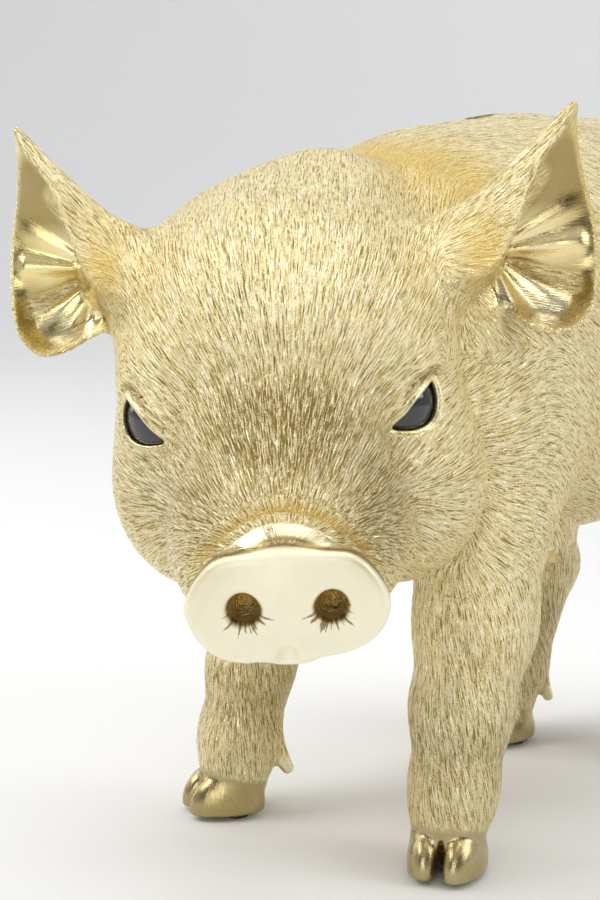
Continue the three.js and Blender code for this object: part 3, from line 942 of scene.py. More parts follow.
@dataclass(frozen=True)
class Net:
    """Wraps a distance field in a closed net of quads.

    Attributes:
        low: Lowest corner of the block that is searched.
        high: Highest corner of the block.
        step: Spacing of the net.
        coarse: How many steps apart the first rough search looks.
    """

    low: tuple[float, float, float]
    high: tuple[float, float, float]
    step: float
    coarse: int = 4

    def sample(self, distance: Callable[[Array], Array]) -> Array:
        """Measures the field on a grid, exactly only near the surface.

        Args:
            distance: The distance field.

        Returns:
            The grid of distances.
        """
        span = self.step * self.coarse
        counts = [int(math.ceil((h - l) / span)) + 1 for l, h in zip(self.low, self.high)]
        axes = [l + span * np.arange(n, dtype=np.float32) for l, n in zip(self.low, counts)]
        rough_points = np.stack(np.meshgrid(*axes, indexing="ij"), axis=-1).reshape(-1, 3)
        rough = distance(rough_points).reshape(counts)
        grid = rough
        for axis in range(3):
            grid = self.stretch(grid, axis)
        grid = np.ascontiguousarray(grid, dtype=np.float32)
        near = np.flatnonzero(np.abs(grid.ravel()) < span * 0.75)
        index = np.stack(np.unravel_index(near, grid.shape), axis=1).astype(np.float32)
        points = index * self.step + np.array(self.low, dtype=np.float32)
        flat = grid.reshape(-1)
        flat[near] = distance(points)
        return grid

    def stretch(self, grid: Array, axis: int) -> Array:
        """Fills in the fine grid's values along one axis between the rough ones."""
        moved = np.moveaxis(grid, axis, 0)
        count = (moved.shape[0] - 1) * self.coarse + 1
        at = np.arange(count) / self.coarse
        below = np.minimum(at.astype(int), moved.shape[0] - 2)
        t = (at - below).reshape(-1, *([1] * (moved.ndim - 1)))
        return np.moveaxis(moved[below] * (1 - t) + moved[below + 1] * t, 0, axis)

    def wrap(self, distance: Callable[[Array], Array]) -> Skin:
        """Builds the net.

        Args:
            distance: The distance field, below 0 inside.

        Returns:
            A closed mesh of quads with its faces pointing out.
        """
        grid = self.sample(distance)
        shape = grid.shape
        inside = grid < 0
        cells = tuple(n - 1 for n in shape)
        total = np.zeros(cells, dtype=np.int8)
        for corner in np.ndindex(2, 2, 2):
            total += inside[tuple(slice(c, c + n) for c, n in zip(corner, cells))]
        active = np.flatnonzero(((total > 0) & (total < 8)).ravel())
        number = np.full(cells, -1, dtype=np.int64)
        number.ravel()[active] = np.arange(len(active))
        cell = np.stack(np.unravel_index(active, cells), axis=1)
        where = np.zeros((len(active), 3))
        hits = np.zeros(len(active))
        for axis in range(3):
            step = np.eye(3, dtype=int)[axis]
            for start in np.ndindex(2, 2, 2):
                if start[axis]:
                    continue
                a = cell + np.array(start)
                b = a + step
                va, vb = grid[tuple(a.T)], grid[tuple(b.T)]
                cross = (va < 0) != (vb < 0)
                t = np.where(cross, va / np.where(cross, va - vb, 1.0), 0.0)
                spot = np.array(start)[None, :] + t[:, None] * step
                where += spot * cross[:, None]
                hits += cross
        points = (cell + where / hits[:, None]) * self.step + np.array(self.low)
        quads = []
        for axis in range(3):
            quads.append(self.faces(inside, number, axis))
        return Skin(points, np.concatenate(quads))

    def faces(self, inside: Array, number: Array, axis: int) -> Array:
        """Makes the quads around the grid edges that run along one axis."""
        u, v = (axis + 1) % 3, (axis + 2) % 3
        ahead = np.roll(inside, -1, axis)
        crossing = inside != ahead
        for side in range(3):
            edge = [slice(None)] * 3
            edge[side] = slice(-1, None)
            crossing[tuple(edge)] = False
            if side != axis:
                edge[side] = slice(0, 1)
                crossing[tuple(edge)] = False
        place = np.argwhere(crossing)
        du, dv = np.eye(3, dtype=int)[u], np.eye(3, dtype=int)[v]
        ring = [number[tuple((place - back).T)] for back in (du * 0, du, du + dv, dv)]
        quads = np.stack(ring, axis=1)
        outward = inside[tuple(place.T)]
        quads[~outward] = quads[~outward][:, ::-1]
        return quads


# ------------------------------------------------------------------ hair


@dataclass(frozen=True)
class Coat:
    """The tooled hair: which way it lies, how long the strokes are and how deep.

    Attributes:
        depth: Height of the strokes in millimetres.
        length: Steps of smearing along the hair.
        seed: Seed of the random strokes.
    """

    depth: float = 0.07
    length: int = 8
    seed: int = 11

    def lie(self, p: Array, normal: Array) -> Array:
        """Finds the direction in which the hair lies.

        Args:
            p: Points in body axes.
            normal: Their unit normals.

        Returns:
            Unit directions along the surface.
        """
        x = p[:, 0]
        flank = blend(np.abs(x), 4.0, 40.0) * np.sign(x)
        leg = blend(-p[:, 2], -96.0, -66.0)
        drop = 0.12 + 0.55 * np.abs(flank)
        body = np.stack([0.18 * flank, 1.0 - 0.75 * leg, -drop - 0.9 * leg], axis=1)
        q = HEAD_AXES.to_head(p)
        snout = np.array([0.0, -78.0, 96.0])
        away = q - snout
        away /= np.sqrt((away**2).sum(axis=1))[:, None] + 1e-9
        head = away + np.array([0.0, 0.35, 0.12])
        head[:, 2] -= 0.5 * blend(-q[:, 2], -112.0, -92.0)
        for ear in HEAD.ears:
            s = ear.side.value
            base = np.array([36.0 * s, -12.0, 153.0])
            rel = q - base
            reach = np.sqrt((rel**2).sum(axis=1))
            on_ear = blend(q[:, 0] * s, 33.0, 42.0) * (q[:, 2] > 133)
            fan = rel / (reach[:, None] + 1e-9)
            head = head * (1 - on_ear[:, None]) + fan * on_ear[:, None] * 1.2
        head = HEAD_AXES.turn(head)
        share = blend(NECK.ahead(p), -14.0, 6.0) * blend(p[:, 2], 74.0, 84.0)
        flow = body * (1 - share[:, None]) + head * share[:, None]
        flow -= normal * (flow * normal).sum(axis=1)[:, None]
        return flow / (np.sqrt((flow**2).sum(axis=1))[:, None] + 1e-9)

    def strokes(self, skin: Skin, flow: Array) -> Array:
        """Smears random marks along the hair, so that they become strokes.

        Args:
            skin: The mesh that carries the hair.
            flow: The hair's direction at each point.

        Returns:
            A height for each point, about -1 to 1.
        """
        rng = np.random.default_rng(self.seed)
        marks = rng.standard_normal(len(skin.points))
        ends = skin.edges()
        both = np.concatenate([ends, ends[:, ::-1]])
        step = skin.points[both[:, 1]] - skin.points[both[:, 0]]
        length = np.sqrt((step**2).sum(axis=1)) + 1e-9
        along = np.abs((step * flow[both[:, 0]]).sum(axis=1)) / length
        weight = along**6
        total = np.bincount(both[:, 0], weight, len(marks)) + 1e-6
        for _ in range(self.length):
            mean = np.bincount(both[:, 0], weight * marks[both[:, 1]], len(marks)) / total
            marks = 0.45 * marks + 0.55 * mean
        blur = np.bincount(both[:, 0], marks[both[:, 1]], len(marks))
        blur /= np.bincount(both[:, 0], minlength=len(marks))
        marks = 0.6 * marks + 0.4 * blur
        slow = marks.copy()
        count = np.bincount(both[:, 0], minlength=len(marks))
        for _ in range(6):
            slow = np.bincount(both[:, 0], slow[both[:, 1]], len(marks)) / count
        marks = marks - slow
        return np.clip(marks / (marks.std() + 1e-9) / 1.6, -1.3, 1.3)


NO_NOSTRIL = 60.0
"""A distance, in millimetres, too far from a nostril to show its hairs."""


class Zone(Enum):
    """Kinds of surface on the casting, and masks of painted shade, as attribute names."""

    FUR = "fur"
    DISC = "disc"
    GLEAM = "gleam"
    # Painted shade: deeper, saturated gold in creases.
    DEEP = "deep"
    # Painted shade, also standing in for dark reflections on the gold.
    SHADE = "shade"
    STROKE = "stroke"


@dataclass(frozen=True)
class ShadePatch:
    """A soft patch of painted shade on the head, standing in for shade and dark reflections on the gold.

    Attributes:
        centre: Sideways place and height, head axes.
        size: Its half width and half height.
        weight: How strong it is.
    """

    centre: tuple[float, float]
    size: tuple[float, float]
    weight: float

    def at(self, q: Array) -> Array:
        """How strong the patch is at points in head axes."""
        across = (q[:, 0] - self.centre[0]) / self.size[0]
        up = (q[:, 2] - self.centre[1]) / self.size[1]
        return self.weight * np.exp(-(across**2) - up**2)


@dataclass(frozen=True)
class Zones:
    """Marks where the casting is haired, polished or cream, and where shade is painted: deep gold in folds and darker
    patches.
    """

    # Painted shade: the band between the eyes stands in for dark reflections, the other patches for shade on the
    # cheeks and snout.
    patches: tuple[ShadePatch, ...] = (
        ShadePatch((0.5, 123.0), (18.0, 11.5), 1.5),
        ShadePatch((-19.0, 104.0), (9.0, 12.0), 0.75),
        ShadePatch((21.0, 104.0), (9.0, 12.0), 0.95),
        ShadePatch((-34.0, 108.0), (9.0, 14.0), 0.45),
        ShadePatch((0.0, 104.0), (12.0, 6.0), 0.30),
    )

    def marks(self, p: Array) -> dict[Zone, Array]:
        """Works out the marks from places alone.

        Args:
            p: Points in body axes.

        Returns:
            One array from 0 to 1 for each zone.
        """
        marks = {zone: np.zeros(len(p)) for zone in (Zone.DISC, Zone.GLEAM, Zone.DEEP, Zone.SHADE)}
        near = np.flatnonzero((p[:, 2] > 70) & (p[:, 1] < 50))
        if near.size:
            part = {zone: values[near] for zone, values in marks.items()}
            q = HEAD_AXES.to_head(p[near])
            self.mark_snout(part, q)
            for ear in HEAD.ears:
                self.mark_ear(part, q, ear)
            for eye in HEAD.eyes:
                rim = eye.rim_distance(q)
                self.raise_to(part, Zone.GLEAM, (1 - blend(rim, 0.9, 1.6)) * 0.8)
                # Painted shade in the fold over the upper lid.
                self.raise_to(part, Zone.SHADE, eye.recess(q) * 0.8)
            # Painted shade patches, on the front of the head only.
            front = blend(-q[:, 1], 4.0, 22.0)
            for patch in self.patches:
                part[Zone.SHADE] += patch.at(q) * front
            for zone, values in part.items():
                marks[zone][near] = values
        self.mark_legs(marks, p)
        # Painted shade: deeper gold in the fold of the nape.
        nape = np.exp(-(((NECK.ahead(p) + 3) / 11) ** 2)) * blend(p[:, 2], 138.0, 172.0)
        self.raise_to(marks, Zone.DEEP, nape * 0.80)
        marks[Zone.FUR] = np.clip(1 - np.maximum(marks[Zone.DISC], marks[Zone.GLEAM]), 0, 1)
        return marks

    def nostrils(self, p: Array) -> Array:
        """Measures each point from the nearer nostril, far away off the snout's face.

        Args:
            p: Points in body axes.

        Returns:
            Outward and upward reach in millimetres, and a zero.
        """
        at = HEAD.disc_axes(HEAD_AXES.to_head(p))
        across = np.abs(at[:, 0]) - HEAD.nostril
        up = at[:, 2] + 0.4
        away = NO_NOSTRIL * blend(at[:, 1], -1.0, 1.5)
        return np.stack([across + away, up, np.zeros(len(p))], axis=1)

    def raise_to(self, marks: dict[Zone, Array], zone: Zone, values: Array) -> None:
        """Keeps the stronger of a mark and new values."""
        marks[zone] = np.maximum(marks[zone], values)

    def mark_snout(self, marks: dict[Zone, Array], q: Array) -> None:
        """Marks the snout's face and its polished rim, and paints shade along the face's top edge, in the nostrils
        and in the fold behind it.

        Args:
            marks: The marks so far, changed.
            q: Points in head axes.
        """
        at = HEAD.disc_axes(q)
        width, height = HEAD.disc_size
        ring = np.hypot(at[:, 0] / (width + 1.5), at[:, 2] / (height + 1.5))
        close = ring < 1.4
        face = blend(-at[:, 1], 0.2, 1.6) * close
        self.raise_to(marks, Zone.DISC, np.maximum(face, blend(-at[:, 1], -2.5, -0.5) * close * (at[:, 2] < -2)))
        rim = blend(-at[:, 1], -3.4, -2.6) * close * blend(at[:, 2], 4.0, 9.0)
        self.raise_to(marks, Zone.GLEAM, np.maximum(rim * (1 - face), 0.0))
        # Painted shade: a dark line along the top of the face, under the rim.
        line = np.exp(-(((at[:, 1] + 0.7) / 0.8) ** 2)) * blend(at[:, 2], 1.0, 8.0) * close
        self.raise_to(marks, Zone.SHADE, line * 1.3)
        # Painted shade: deeper gold in the crease behind the rim.
        crease = np.exp(-(((at[:, 1] - 7.2) / 1.5) ** 2)) * blend(at[:, 2], 2.0, 9.0) * (ring < 1.8)
        self.raise_to(marks, Zone.DEEP, crease)
        for side in Side:
            # Painted shade in each nostril: deeper gold on its upper side, dark brown on its lower side.
            hole = np.hypot(at[:, 0] - HEAD.nostril * side.value, (at[:, 2] + 0.4) * 1.1)
            inside = (1 - blend(hole, 3.2, 4.8)) * close
            self.raise_to(marks, Zone.DEEP, inside * blend(at[:, 2], -3.0, 0.5))
            self.raise_to(marks, Zone.SHADE, inside * blend(-at[:, 2], -0.5, 3.0) * 0.9)

    def mark_ear(self, marks: dict[Zone, Array], q: Array, ear: EarForm) -> None:
        """Marks the polished cup of an ear, and paints shade on its folds and at its root.

        Args:
            marks: The marks so far, changed.
            q: Points in head axes.
            ear: The ear.
        """
        flat = ear.flat(q)
        near = np.flatnonzero((flat[:, 0] > 32) & (q[:, 2] > 130))
        if not near.size:
            return
        flat = flat[near]
        leaf = outline_distance(flat, rounded_outline(ear.leaf, 2))
        flap = outline_distance(flat, rounded_outline(ear.flap, 2))
        front = blend(ear.sheet(flat, leaf) - q[near, 1], -0.2, 0.9)
        cup = front * blend(-leaf, 0.4, 2.0) * blend(flap, -0.2, 0.8) * blend(flat[:, 0], 43.0, 49.0)
        marks[Zone.GLEAM][near] = np.maximum(marks[Zone.GLEAM][near], cup)
        # Painted shade: deeper gold at the ear's root.
        root = np.exp(-(((flat[:, 0] - 45) / 6) ** 2) - ((flat[:, 1] - 157) / 8) ** 2)
        marks[Zone.DEEP][near] = np.maximum(marks[Zone.DEEP][near], root * (0.9 - 0.65 * cup))
        # Painted shade in the cup: along its top, along its edges and in the valleys of its folds.
        top = blend(flat[:, 1], 163.0, 172.0) * (1 - blend(flat[:, 1], 180.0, 188.0))
        edge = blend(-leaf, 1.2, 3.0) * (1 - blend(-leaf, 5.0, 11.0))
        low = blend(-flat[:, 1], -146.0, -141.0)
        valley = 0.5 - 0.5 * np.clip(ear.folds(flat), -1, 1)
        dark = cup * np.clip(0.75 * top + 0.30 * edge + 0.4 * low * edge + 0.9 * (valley - 0.35), 0, 1)
        marks[Zone.SHADE][near] = np.maximum(marks[Zone.SHADE][near], dark * 0.85)

    def mark_legs(self, marks: dict[Zone, Array], p: Array) -> None:
        """Marks the smooth claws, and paints shade on the knees and the claws.

        Args:
            marks: The marks so far, changed.
            p: Points in body axes.
        """
        near = np.flatnonzero(p[:, 2] < 60)
        low = p[near]
        gleam, shade = marks[Zone.GLEAM][near], marks[Zone.SHADE][near]
        for foot in FEET.values():
            at = foot.local(low)
            here = (np.abs(at[:, 0]) < 20) & (np.abs(at[:, 1]) < 30)
            hoof = blend(11.5 - 0.25 * at[:, 1] - low[:, 2], -0.8, 1.0) * here * (at[:, 1] < 9)
            dew = blend(-low[:, 2], -18.0, -16.0) * here * (at[:, 1] > 10.0)
            gleam = np.maximum(gleam, np.maximum(hoof, dew) * (low[:, 2] < 26))
            # Painted shade on the knees and on the claws.
            knee = np.exp(-(((low[:, 2] - 34) / 13) ** 2)) * here * 0.45
            shade = np.maximum(shade, np.maximum(knee, hoof * 0.72))
        marks[Zone.GLEAM][near] = gleam
        marks[Zone.SHADE][near] = shade


COAT = Coat()
ZONES = Zones()

# ------------------------------------------------------------------ Blender meshes


def new_object(name: str, mesh: bpy.types.Mesh) -> bpy.types.Object:
    """Puts a mesh into the scene as an object of the same name."""
    item = bpy.data.objects.new(name, mesh)
    bpy.context.scene.collection.objects.link(item)
    return item


def mesh_from_arrays(name: str, points: Array, faces: Array) -> bpy.types.Mesh:
    """Makes a Blender mesh quickly from arrays.

    Args:
        name: The mesh's name.
        points: Points in metres.
        faces: Point numbers of the faces, all of one length.

    Returns:
        The mesh.
    """
    mesh = bpy.data.meshes.new(name)
    size = faces.shape[1]
    mesh.vertices.add(len(points))
    mesh.vertices.foreach_set("co", points.astype(np.float32).ravel())
    mesh.loops.add(faces.size)
    mesh.loops.foreach_set("vertex_index", faces.astype(np.int32).ravel())
    mesh.polygons.add(len(faces))
    mesh.polygons.foreach_set("loop_start", np.arange(0, faces.size, size, dtype=np.int32))
    mesh.update(calc_edges=True)
    return mesh


def mesh_points(mesh: bpy.types.Mesh) -> Array:
    """Reads a mesh's points, in the sculptor's millimetres."""
    flat = np.empty(len(mesh.vertices) * 3, dtype=np.float32)
    mesh.vertices.foreach_get("co", flat)
    return flat.reshape(-1, 3).astype(float) / MM - PLACEMENT.offset()


def object_from_skin(name: str, skin: Skin) -> bpy.types.Object:
    """Makes an object from a mesh held in the sculptor's axes."""
    return new_object(name, mesh_from_arrays(name, PLACEMENT.world(skin.points), skin.quads))


def lay(mesh: bpy.types.Mesh, name: str, values: Array) -> None:
    """Stores a number or a vector at every point of a mesh.

    Args:
        mesh: The mesh.
        name: Name of the attribute.
        values: One value, or one row of three, per point.
    """
    kind, key = ("FLOAT_VECTOR", "vector") if values.ndim == 2 else ("FLOAT", "value")
    layer = mesh.attributes.new(name, kind, "POINT")
    layer.data.foreach_set(key, values.astype(np.float32).ravel())


def smooth_faces(mesh: bpy.types.Mesh) -> None:
    """Shades every face of a mesh smooth."""
    mesh.polygons.foreach_set("use_smooth", np.ones(len(mesh.polygons), dtype=bool))


class Cut(Enum):
    """What a cutter does to a casting."""

    KEEP = "INTERSECT"
    REMOVE = "DIFFERENCE"
    JOIN = "UNION"


def machined(blank: bpy.types.Object, cutter: bpy.types.Object, cut: Cut, name: str) -> bpy.types.Object:
    """Cuts a copy of a blank and leaves the blank alone.

    Args:
        blank: What is cut.
        cutter: What it is cut with.
        cut: Which part stays.
        name: Name of the new object.

    Returns:
        The cut copy.
    """
    step = blank.modifiers.new("cut", "BOOLEAN")
    step.operation = cut.value
    step.solver = "MANIFOLD"
    step.object = cutter
    depsgraph = bpy.context.evaluated_depsgraph_get()
    mesh = bpy.data.meshes.new_from_object(blank.evaluated_get(depsgraph))
    blank.modifiers.remove(step)
    mesh.name = name
    return new_object(name, mesh)


def drop_crumbs(item: bpy.types.Object, least: int = 300) -> None:
    """Removes loose crumbs that a cut left beside a casting.

    Args:
        item: The casting, changed.
        least: Fewest faces that a loose part may keep.
    """
    shape = bmesh.new()
    shape.from_mesh(item.data)
    seen: set[bmesh.types.BMFace] = set()
    crumbs: list[bmesh.types.BMFace] = []
    for face in shape.faces:
        if face in seen:
            continue
        seen.add(face)
        part, front = [face], [face]
        while front:
            for vert in front.pop().verts:
                for other in vert.link_faces:
                    if other not in seen:
                        seen.add(other)
                        part.append(other)
                        front.append(other)
        if len(part) < least:
            crumbs.extend(part)
    bmesh.ops.delete(shape, geom=crumbs, context="FACES")
    shape.to_mesh(item.data)
    shape.free()


def discard(*items: bpy.types.Object) -> None:
    """Removes objects that were only needed on the way."""
    for item in items:
        bpy.data.objects.remove(item, do_unlink=True)


def hull(name: str, corners: Array) -> bpy.types.Object:
    """Makes the convex solid around a few corners, in the sculptor's millimetres."""
    shape = bmesh.new()
    for corner in PLACEMENT.world(corners):
        shape.verts.new(corner)
    bmesh.ops.convex_hull(shape, input=shape.verts)
    bmesh.ops.recalc_face_normals(shape, faces=shape.faces)
    bmesh.ops.triangulate(shape, faces=shape.faces)
    mesh = bpy.data.meshes.new(name)
    shape.to_mesh(mesh)
    shape.free()
    return new_object(name, mesh)


def block(name: str, low: Sequence[float], high: Sequence[float]) -> bpy.types.Object:
    """Makes a box-shaped solid between two corners, in the sculptor's millimetres."""
    corners = [[x, y, z] for x in (low[0], high[0]) for y in (low[1], high[1]) for z in (low[2], high[2])]
    return hull(name, np.array(corners, dtype=float))


def round_bar(name: str, start: Array, end: Array, radius: float, sides: int = 64) -> bpy.types.Object:
    """Makes a round cutter between two points, in the sculptor's millimetres."""
    a, b = np.array(start, dtype=float), np.array(end, dtype=float)
    axis = Vector(b - a).normalized()
    turn = axis.to_track_quat("Z", "Y").to_matrix()
    angles = np.arange(sides) / sides * 2 * math.pi
    ring = np.stack([np.cos(angles), np.sin(angles), angles * 0], axis=1) * radius
    ring = ring @ np.array(turn).T
    return hull(name, np.concatenate([a + ring, b + ring]))


# ------------------------------------------------------------------ materials


class Wiring:
    """Builds a node tree with short calls."""

    def __init__(self, name: str) -> None:
        """Starts a material with an empty surface."""
        self.material = bpy.data.materials.new(name)
        self.material.use_nodes = True
        self.tree = self.material.node_tree
        self.shader = self.tree.nodes["Principled BSDF"]
        self.column = 0

    def node(self, kind: str, **settings: object) -> bpy.types.Node:
        """Adds a node and sets its properties.

        Args:
            kind: The node's type, without its prefix.
            **settings: Properties of the node.

        Returns:
            The node.
        """
        node = self.tree.nodes.new("ShaderNode" + kind)
        for key, value in settings.items():
            setattr(node, key, value)
        self.column += 1
        node.location = (-1800 + 180 * (self.column % 10), 400 - 160 * (self.column // 10))
        return node

    def link(self, output: bpy.types.NodeSocket, target: bpy.types.NodeSocket) -> None:
        """Connects two sockets."""
        self.tree.links.new(output, target)

    def feed(self, target: bpy.types.NodeSocket, value: object) -> None:
        """Connects a socket, or sets a plain value on it."""
        if isinstance(value, bpy.types.NodeSocket):
            self.link(value, target)
        else:
            target.default_value = value

    def math(self, operation: str, a: object, b: object = 0.0, clamp: bool = False) -> bpy.types.NodeSocket:
        """Adds a Math node.

        Args:
            operation: Its operation.
            a: First number or socket.
            b: Second number or socket.
            clamp: Whether the result is kept between 0 and 1.

        Returns:
            The result's socket.
        """
        node = self.node("Math", operation=operation, use_clamp=clamp)
        self.feed(node.inputs[0], a)
        self.feed(node.inputs[1], b)
        return node.outputs[0]

    def remap(self, value: object, low: float, high: float, to: tuple[float, float] = (0, 1)) -> bpy.types.NodeSocket:
        """Stretches a range of values onto another, and keeps inside it."""
        node = self.node("MapRange")
        self.feed(node.inputs["Value"], value)
        node.inputs["From Min"].default_value = low
        node.inputs["From Max"].default_value = high
        node.inputs["To Min"].default_value = to[0]
        node.inputs["To Max"].default_value = to[1]
        return node.outputs["Result"]

    def mix(self, share: object, a: object, b: object, way: str = "MIX") -> bpy.types.NodeSocket:
        """Mixes two colours.

        Args:
            share: Share of the second colour.
            a: First colour or socket.
            b: Second colour or socket.
            way: How they are mixed.

        Returns:
            The mixed colour's socket.
        """
        node = self.node("Mix", data_type="RGBA", blend_type=way)
        self.feed(node.inputs["Factor"], share)
        self.feed(node.inputs[6], a if isinstance(a, bpy.types.NodeSocket) else (*a, 1.0))
        self.feed(node.inputs[7], b if isinstance(b, bpy.types.NodeSocket) else (*b, 1.0))
        return node.outputs[2]

    def mix_value(self, share: object, a: object, b: object) -> bpy.types.NodeSocket:
        """Mixes two numbers."""
        node = self.node("Mix", data_type="FLOAT")
        self.feed(node.inputs["Factor"], share)
        self.feed(node.inputs[2], a)
        self.feed(node.inputs[3], b)
        return node.outputs[0]

    def attribute(self, name: str) -> bpy.types.Node:
        """Reads a mesh attribute."""
        return self.node("Attribute", attribute_name=name)

    def place(self) -> bpy.types.NodeSocket:
        """The point's place on its own object, in metres."""
        return self.node("TexCoord").outputs["Object"]

    def noise(self, scale: float, detail: float = 2.0, at: object = None) -> bpy.types.NodeSocket:
        """Adds a noise texture with features about 1/scale metres across."""
        node = self.node("TexNoise")
        node.inputs["Scale"].default_value = scale
        node.inputs["Detail"].default_value = detail
        self.feed(node.inputs["Vector"], at if at is not None else self.place())
        return node.outputs["Fac"]

    def bump(self, height: object, depth: float, strength: float = 1.0, under: object = None) -> bpy.types.NodeSocket:
        """Adds a Bump node and returns its normal."""
        node = self.node("Bump")
        node.inputs["Distance"].default_value = depth
        node.inputs["Strength"].default_value = strength
        self.feed(node.inputs["Height"], height)
        if under is not None:
            self.link(under, node.inputs["Normal"])
        return node.outputs["Normal"]


@dataclass(frozen=True)
class GoldFinish:
    """Gold lacquer rubbed over tooled hair, smooth and bright on claws, ears and lids, with painted shade and painted
    highlights.

    Attributes:
        bright: Colour on the tops of the strokes, partly rubbed gold and partly a painted highlight.
        middle: Colour of the plain gold.
        dark: Colour between the strokes, partly lacquer left in the grooves and partly painted shade.
        fold: Saturated darker gold painted into creases as shade.
        shade_and_bristle_brown: Dark brown of the painted shade and of the nostril bristles.
        cream: Colour of the snout's face.
        stroke_scale: Strokes for each metre.
        smear: Step along the hair in metres.
        taps: Steps each way.
    """

    name: str = "gold_lacquer"
    bright: tuple[float, float, float] = (0.97, 0.89, 0.64)
    middle: tuple[float, float, float] = (0.80, 0.665, 0.31)
    dark: tuple[float, float, float] = (0.27, 0.185, 0.04)
    fold: tuple[float, float, float] = (0.74, 0.52, 0.13)
    shade_and_bristle_brown: tuple[float, float, float] = (0.20, 0.13, 0.025)
    cream: tuple[float, float, float] = (0.89, 0.84, 0.64)
    stroke_scale: float = 2900.0
    smear: float = 0.00038
    taps: int = 3

    def strokes(self, w: Wiring) -> bpy.types.NodeSocket:
        """Smears a fine noise along the hair's direction.

        Args:
            w: The material's wiring.

        Returns:
            Stroke height from 0 to 1.
        """
        flow = w.attribute("flow").outputs["Vector"]
        place = w.place()
        total: object = 0.0
        for tap in range(-self.taps, self.taps + 1):
            shift = w.node("VectorMath", operation="MULTIPLY_ADD")
            w.link(flow, shift.inputs[0])
            shift.inputs[1].default_value = (tap * self.smear,) * 3
            w.link(place, shift.inputs[2])
            total = w.math("ADD", w.noise(self.stroke_scale, 0.5, shift.outputs[0]), total)
        mean = w.math("MULTIPLY", total, 1.0 / (2 * self.taps + 1))
        return w.remap(mean, 0.41, 0.59)

    def bristles(self, w: Wiring) -> bpy.types.NodeSocket:
        """Draws the dark hairs that fan out of the nostrils.

        Args:
            w: The material's wiring.

        Returns:
            How dark the hairs make the surface, 0 to 1.
        """
        place = w.node("SeparateXYZ")
        w.link(w.attribute("nostril").outputs["Vector"], place.inputs[0])
        across, up = place.outputs[0], place.outputs[1]
        reach = w.math("SQRT", w.math("ADD", w.math("MULTIPLY", across, across), w.math("MULTIPLY", up, up)))
        around = w.node("CombineXYZ")
        w.link(w.math("DIVIDE", across, reach), around.inputs[0])
        w.link(w.math("DIVIDE", up, reach), around.inputs[1])
        ragged = w.remap(w.noise(420.0, 2.0), 0.3, 0.7, (-1.0, 1.0))
        spokes = w.remap(w.noise(5.0, 2.0, around.outputs[0]), 0.42, 0.66)
        low = w.remap(up, 2.5, -2.5, (0.25, 1.0))
        limit = w.math("ADD", w.math("MULTIPLY", w.math("MULTIPLY", spokes, low), 4.2), 2.7)
        limit = w.math("ADD", limit, w.math("MULTIPLY", ragged, low))
        inside = w.remap(w.math("SUBTRACT", limit, reach), 0.0, 0.7)
        return w.math("MULTIPLY", inside, w.remap(low, 0.2, 0.9, (0.35, 1.0)))

    def build(self) -> bpy.types.Material:
        """Wires the finish.

        Returns:
            The material.
        """
        w = Wiring(self.name)
        fur = w.attribute(Zone.FUR.value).outputs["Fac"]
        disc = w.attribute(Zone.DISC.value).outputs["Fac"]
        gleam = w.attribute(Zone.GLEAM.value).outputs["Fac"]
        deep = w.attribute(Zone.DEEP.value).outputs["Fac"]
        shade = w.attribute(Zone.SHADE.value).outputs["Fac"]
        carved = w.attribute(Zone.STROKE.value).outputs["Fac"]
        fine = self.strokes(w)
        patches = w.noise(38.0, 3.0)
        specks = w.noise(620.0, 2.0)
        stroke = w.math("ADD", w.math("MULTIPLY", fine, 0.87), w.math("MULTIPLY", carved, 0.13))
        # Darker in the grooves, lighter on the tops: partly lacquer and rubbed gold, partly painted shade and painted
        # highlights.
        tone = w.mix(w.remap(stroke, 0.08, 0.42), self.dark, self.middle)
        tone = w.mix(w.remap(stroke, 0.38, 0.75), tone, self.bright)
        smooth_tone = w.mix(w.remap(patches, 0.35, 0.65), self.middle, self.bright)
        tone = w.mix(fur, smooth_tone, tone)
        # Painted shade: deeper gold in creases.
        tone = w.mix(w.math("MULTIPLY", deep, 0.82), tone, self.fold)
        tone = w.mix(w.remap(patches, 0.45, 0.75, (0.0, 0.25)), tone, self.middle, "MULTIPLY")
        # Painted shade from the shade mask, stronger between the strokes.
        gaps = w.remap(stroke, 0.75, 0.25, (0.35, 1.0))
        painted_shade = w.math("MULTIPLY", shade, w.mix_value(fur, 0.85, gaps))
        tone = w.mix(painted_shade, tone, self.shade_and_bristle_brown)
        cream = w.mix(w.remap(patches, 0.3, 0.7, (0.0, 0.30)), self.cream, self.bright)
        pale = w.math("MULTIPLY", disc, w.math("SUBTRACT", 1.0, w.math("MAXIMUM", deep, shade)))
        tone = w.mix(pale, tone, cream)
        tone = w.mix(w.math("MULTIPLY", self.bristles(w), 0.85), tone, self.shade_and_bristle_brown)
        w.link(tone, w.shader.inputs["Base Color"])
        metal = w.math("SUBTRACT", 0.90, w.math("MULTIPLY", pale, 0.70))
        w.link(metal, w.shader.inputs["Metallic"])
        rough = w.remap(stroke, 0.2, 0.9, (0.44, 0.25))
        rough = w.math("ADD", rough, w.remap(specks, 0.3, 0.7, (-0.05, 0.07)))
        polished = w.math("MULTIPLY", gleam, -0.16)
        rough = w.math("ADD", w.math("ADD", rough, polished), w.math("MULTIPLY", pale, 0.16))
        w.link(rough, w.shader.inputs["Roughness"])
        height = w.math("MULTIPLY", fine, w.math("MAXIMUM", fur, 0.10))
        under = w.bump(w.noise(240.0, 3.0), 0.00015, 0.5)
        w.link(w.bump(height, 0.00030, 1.0, under), w.shader.inputs["Normal"])
        return w.material


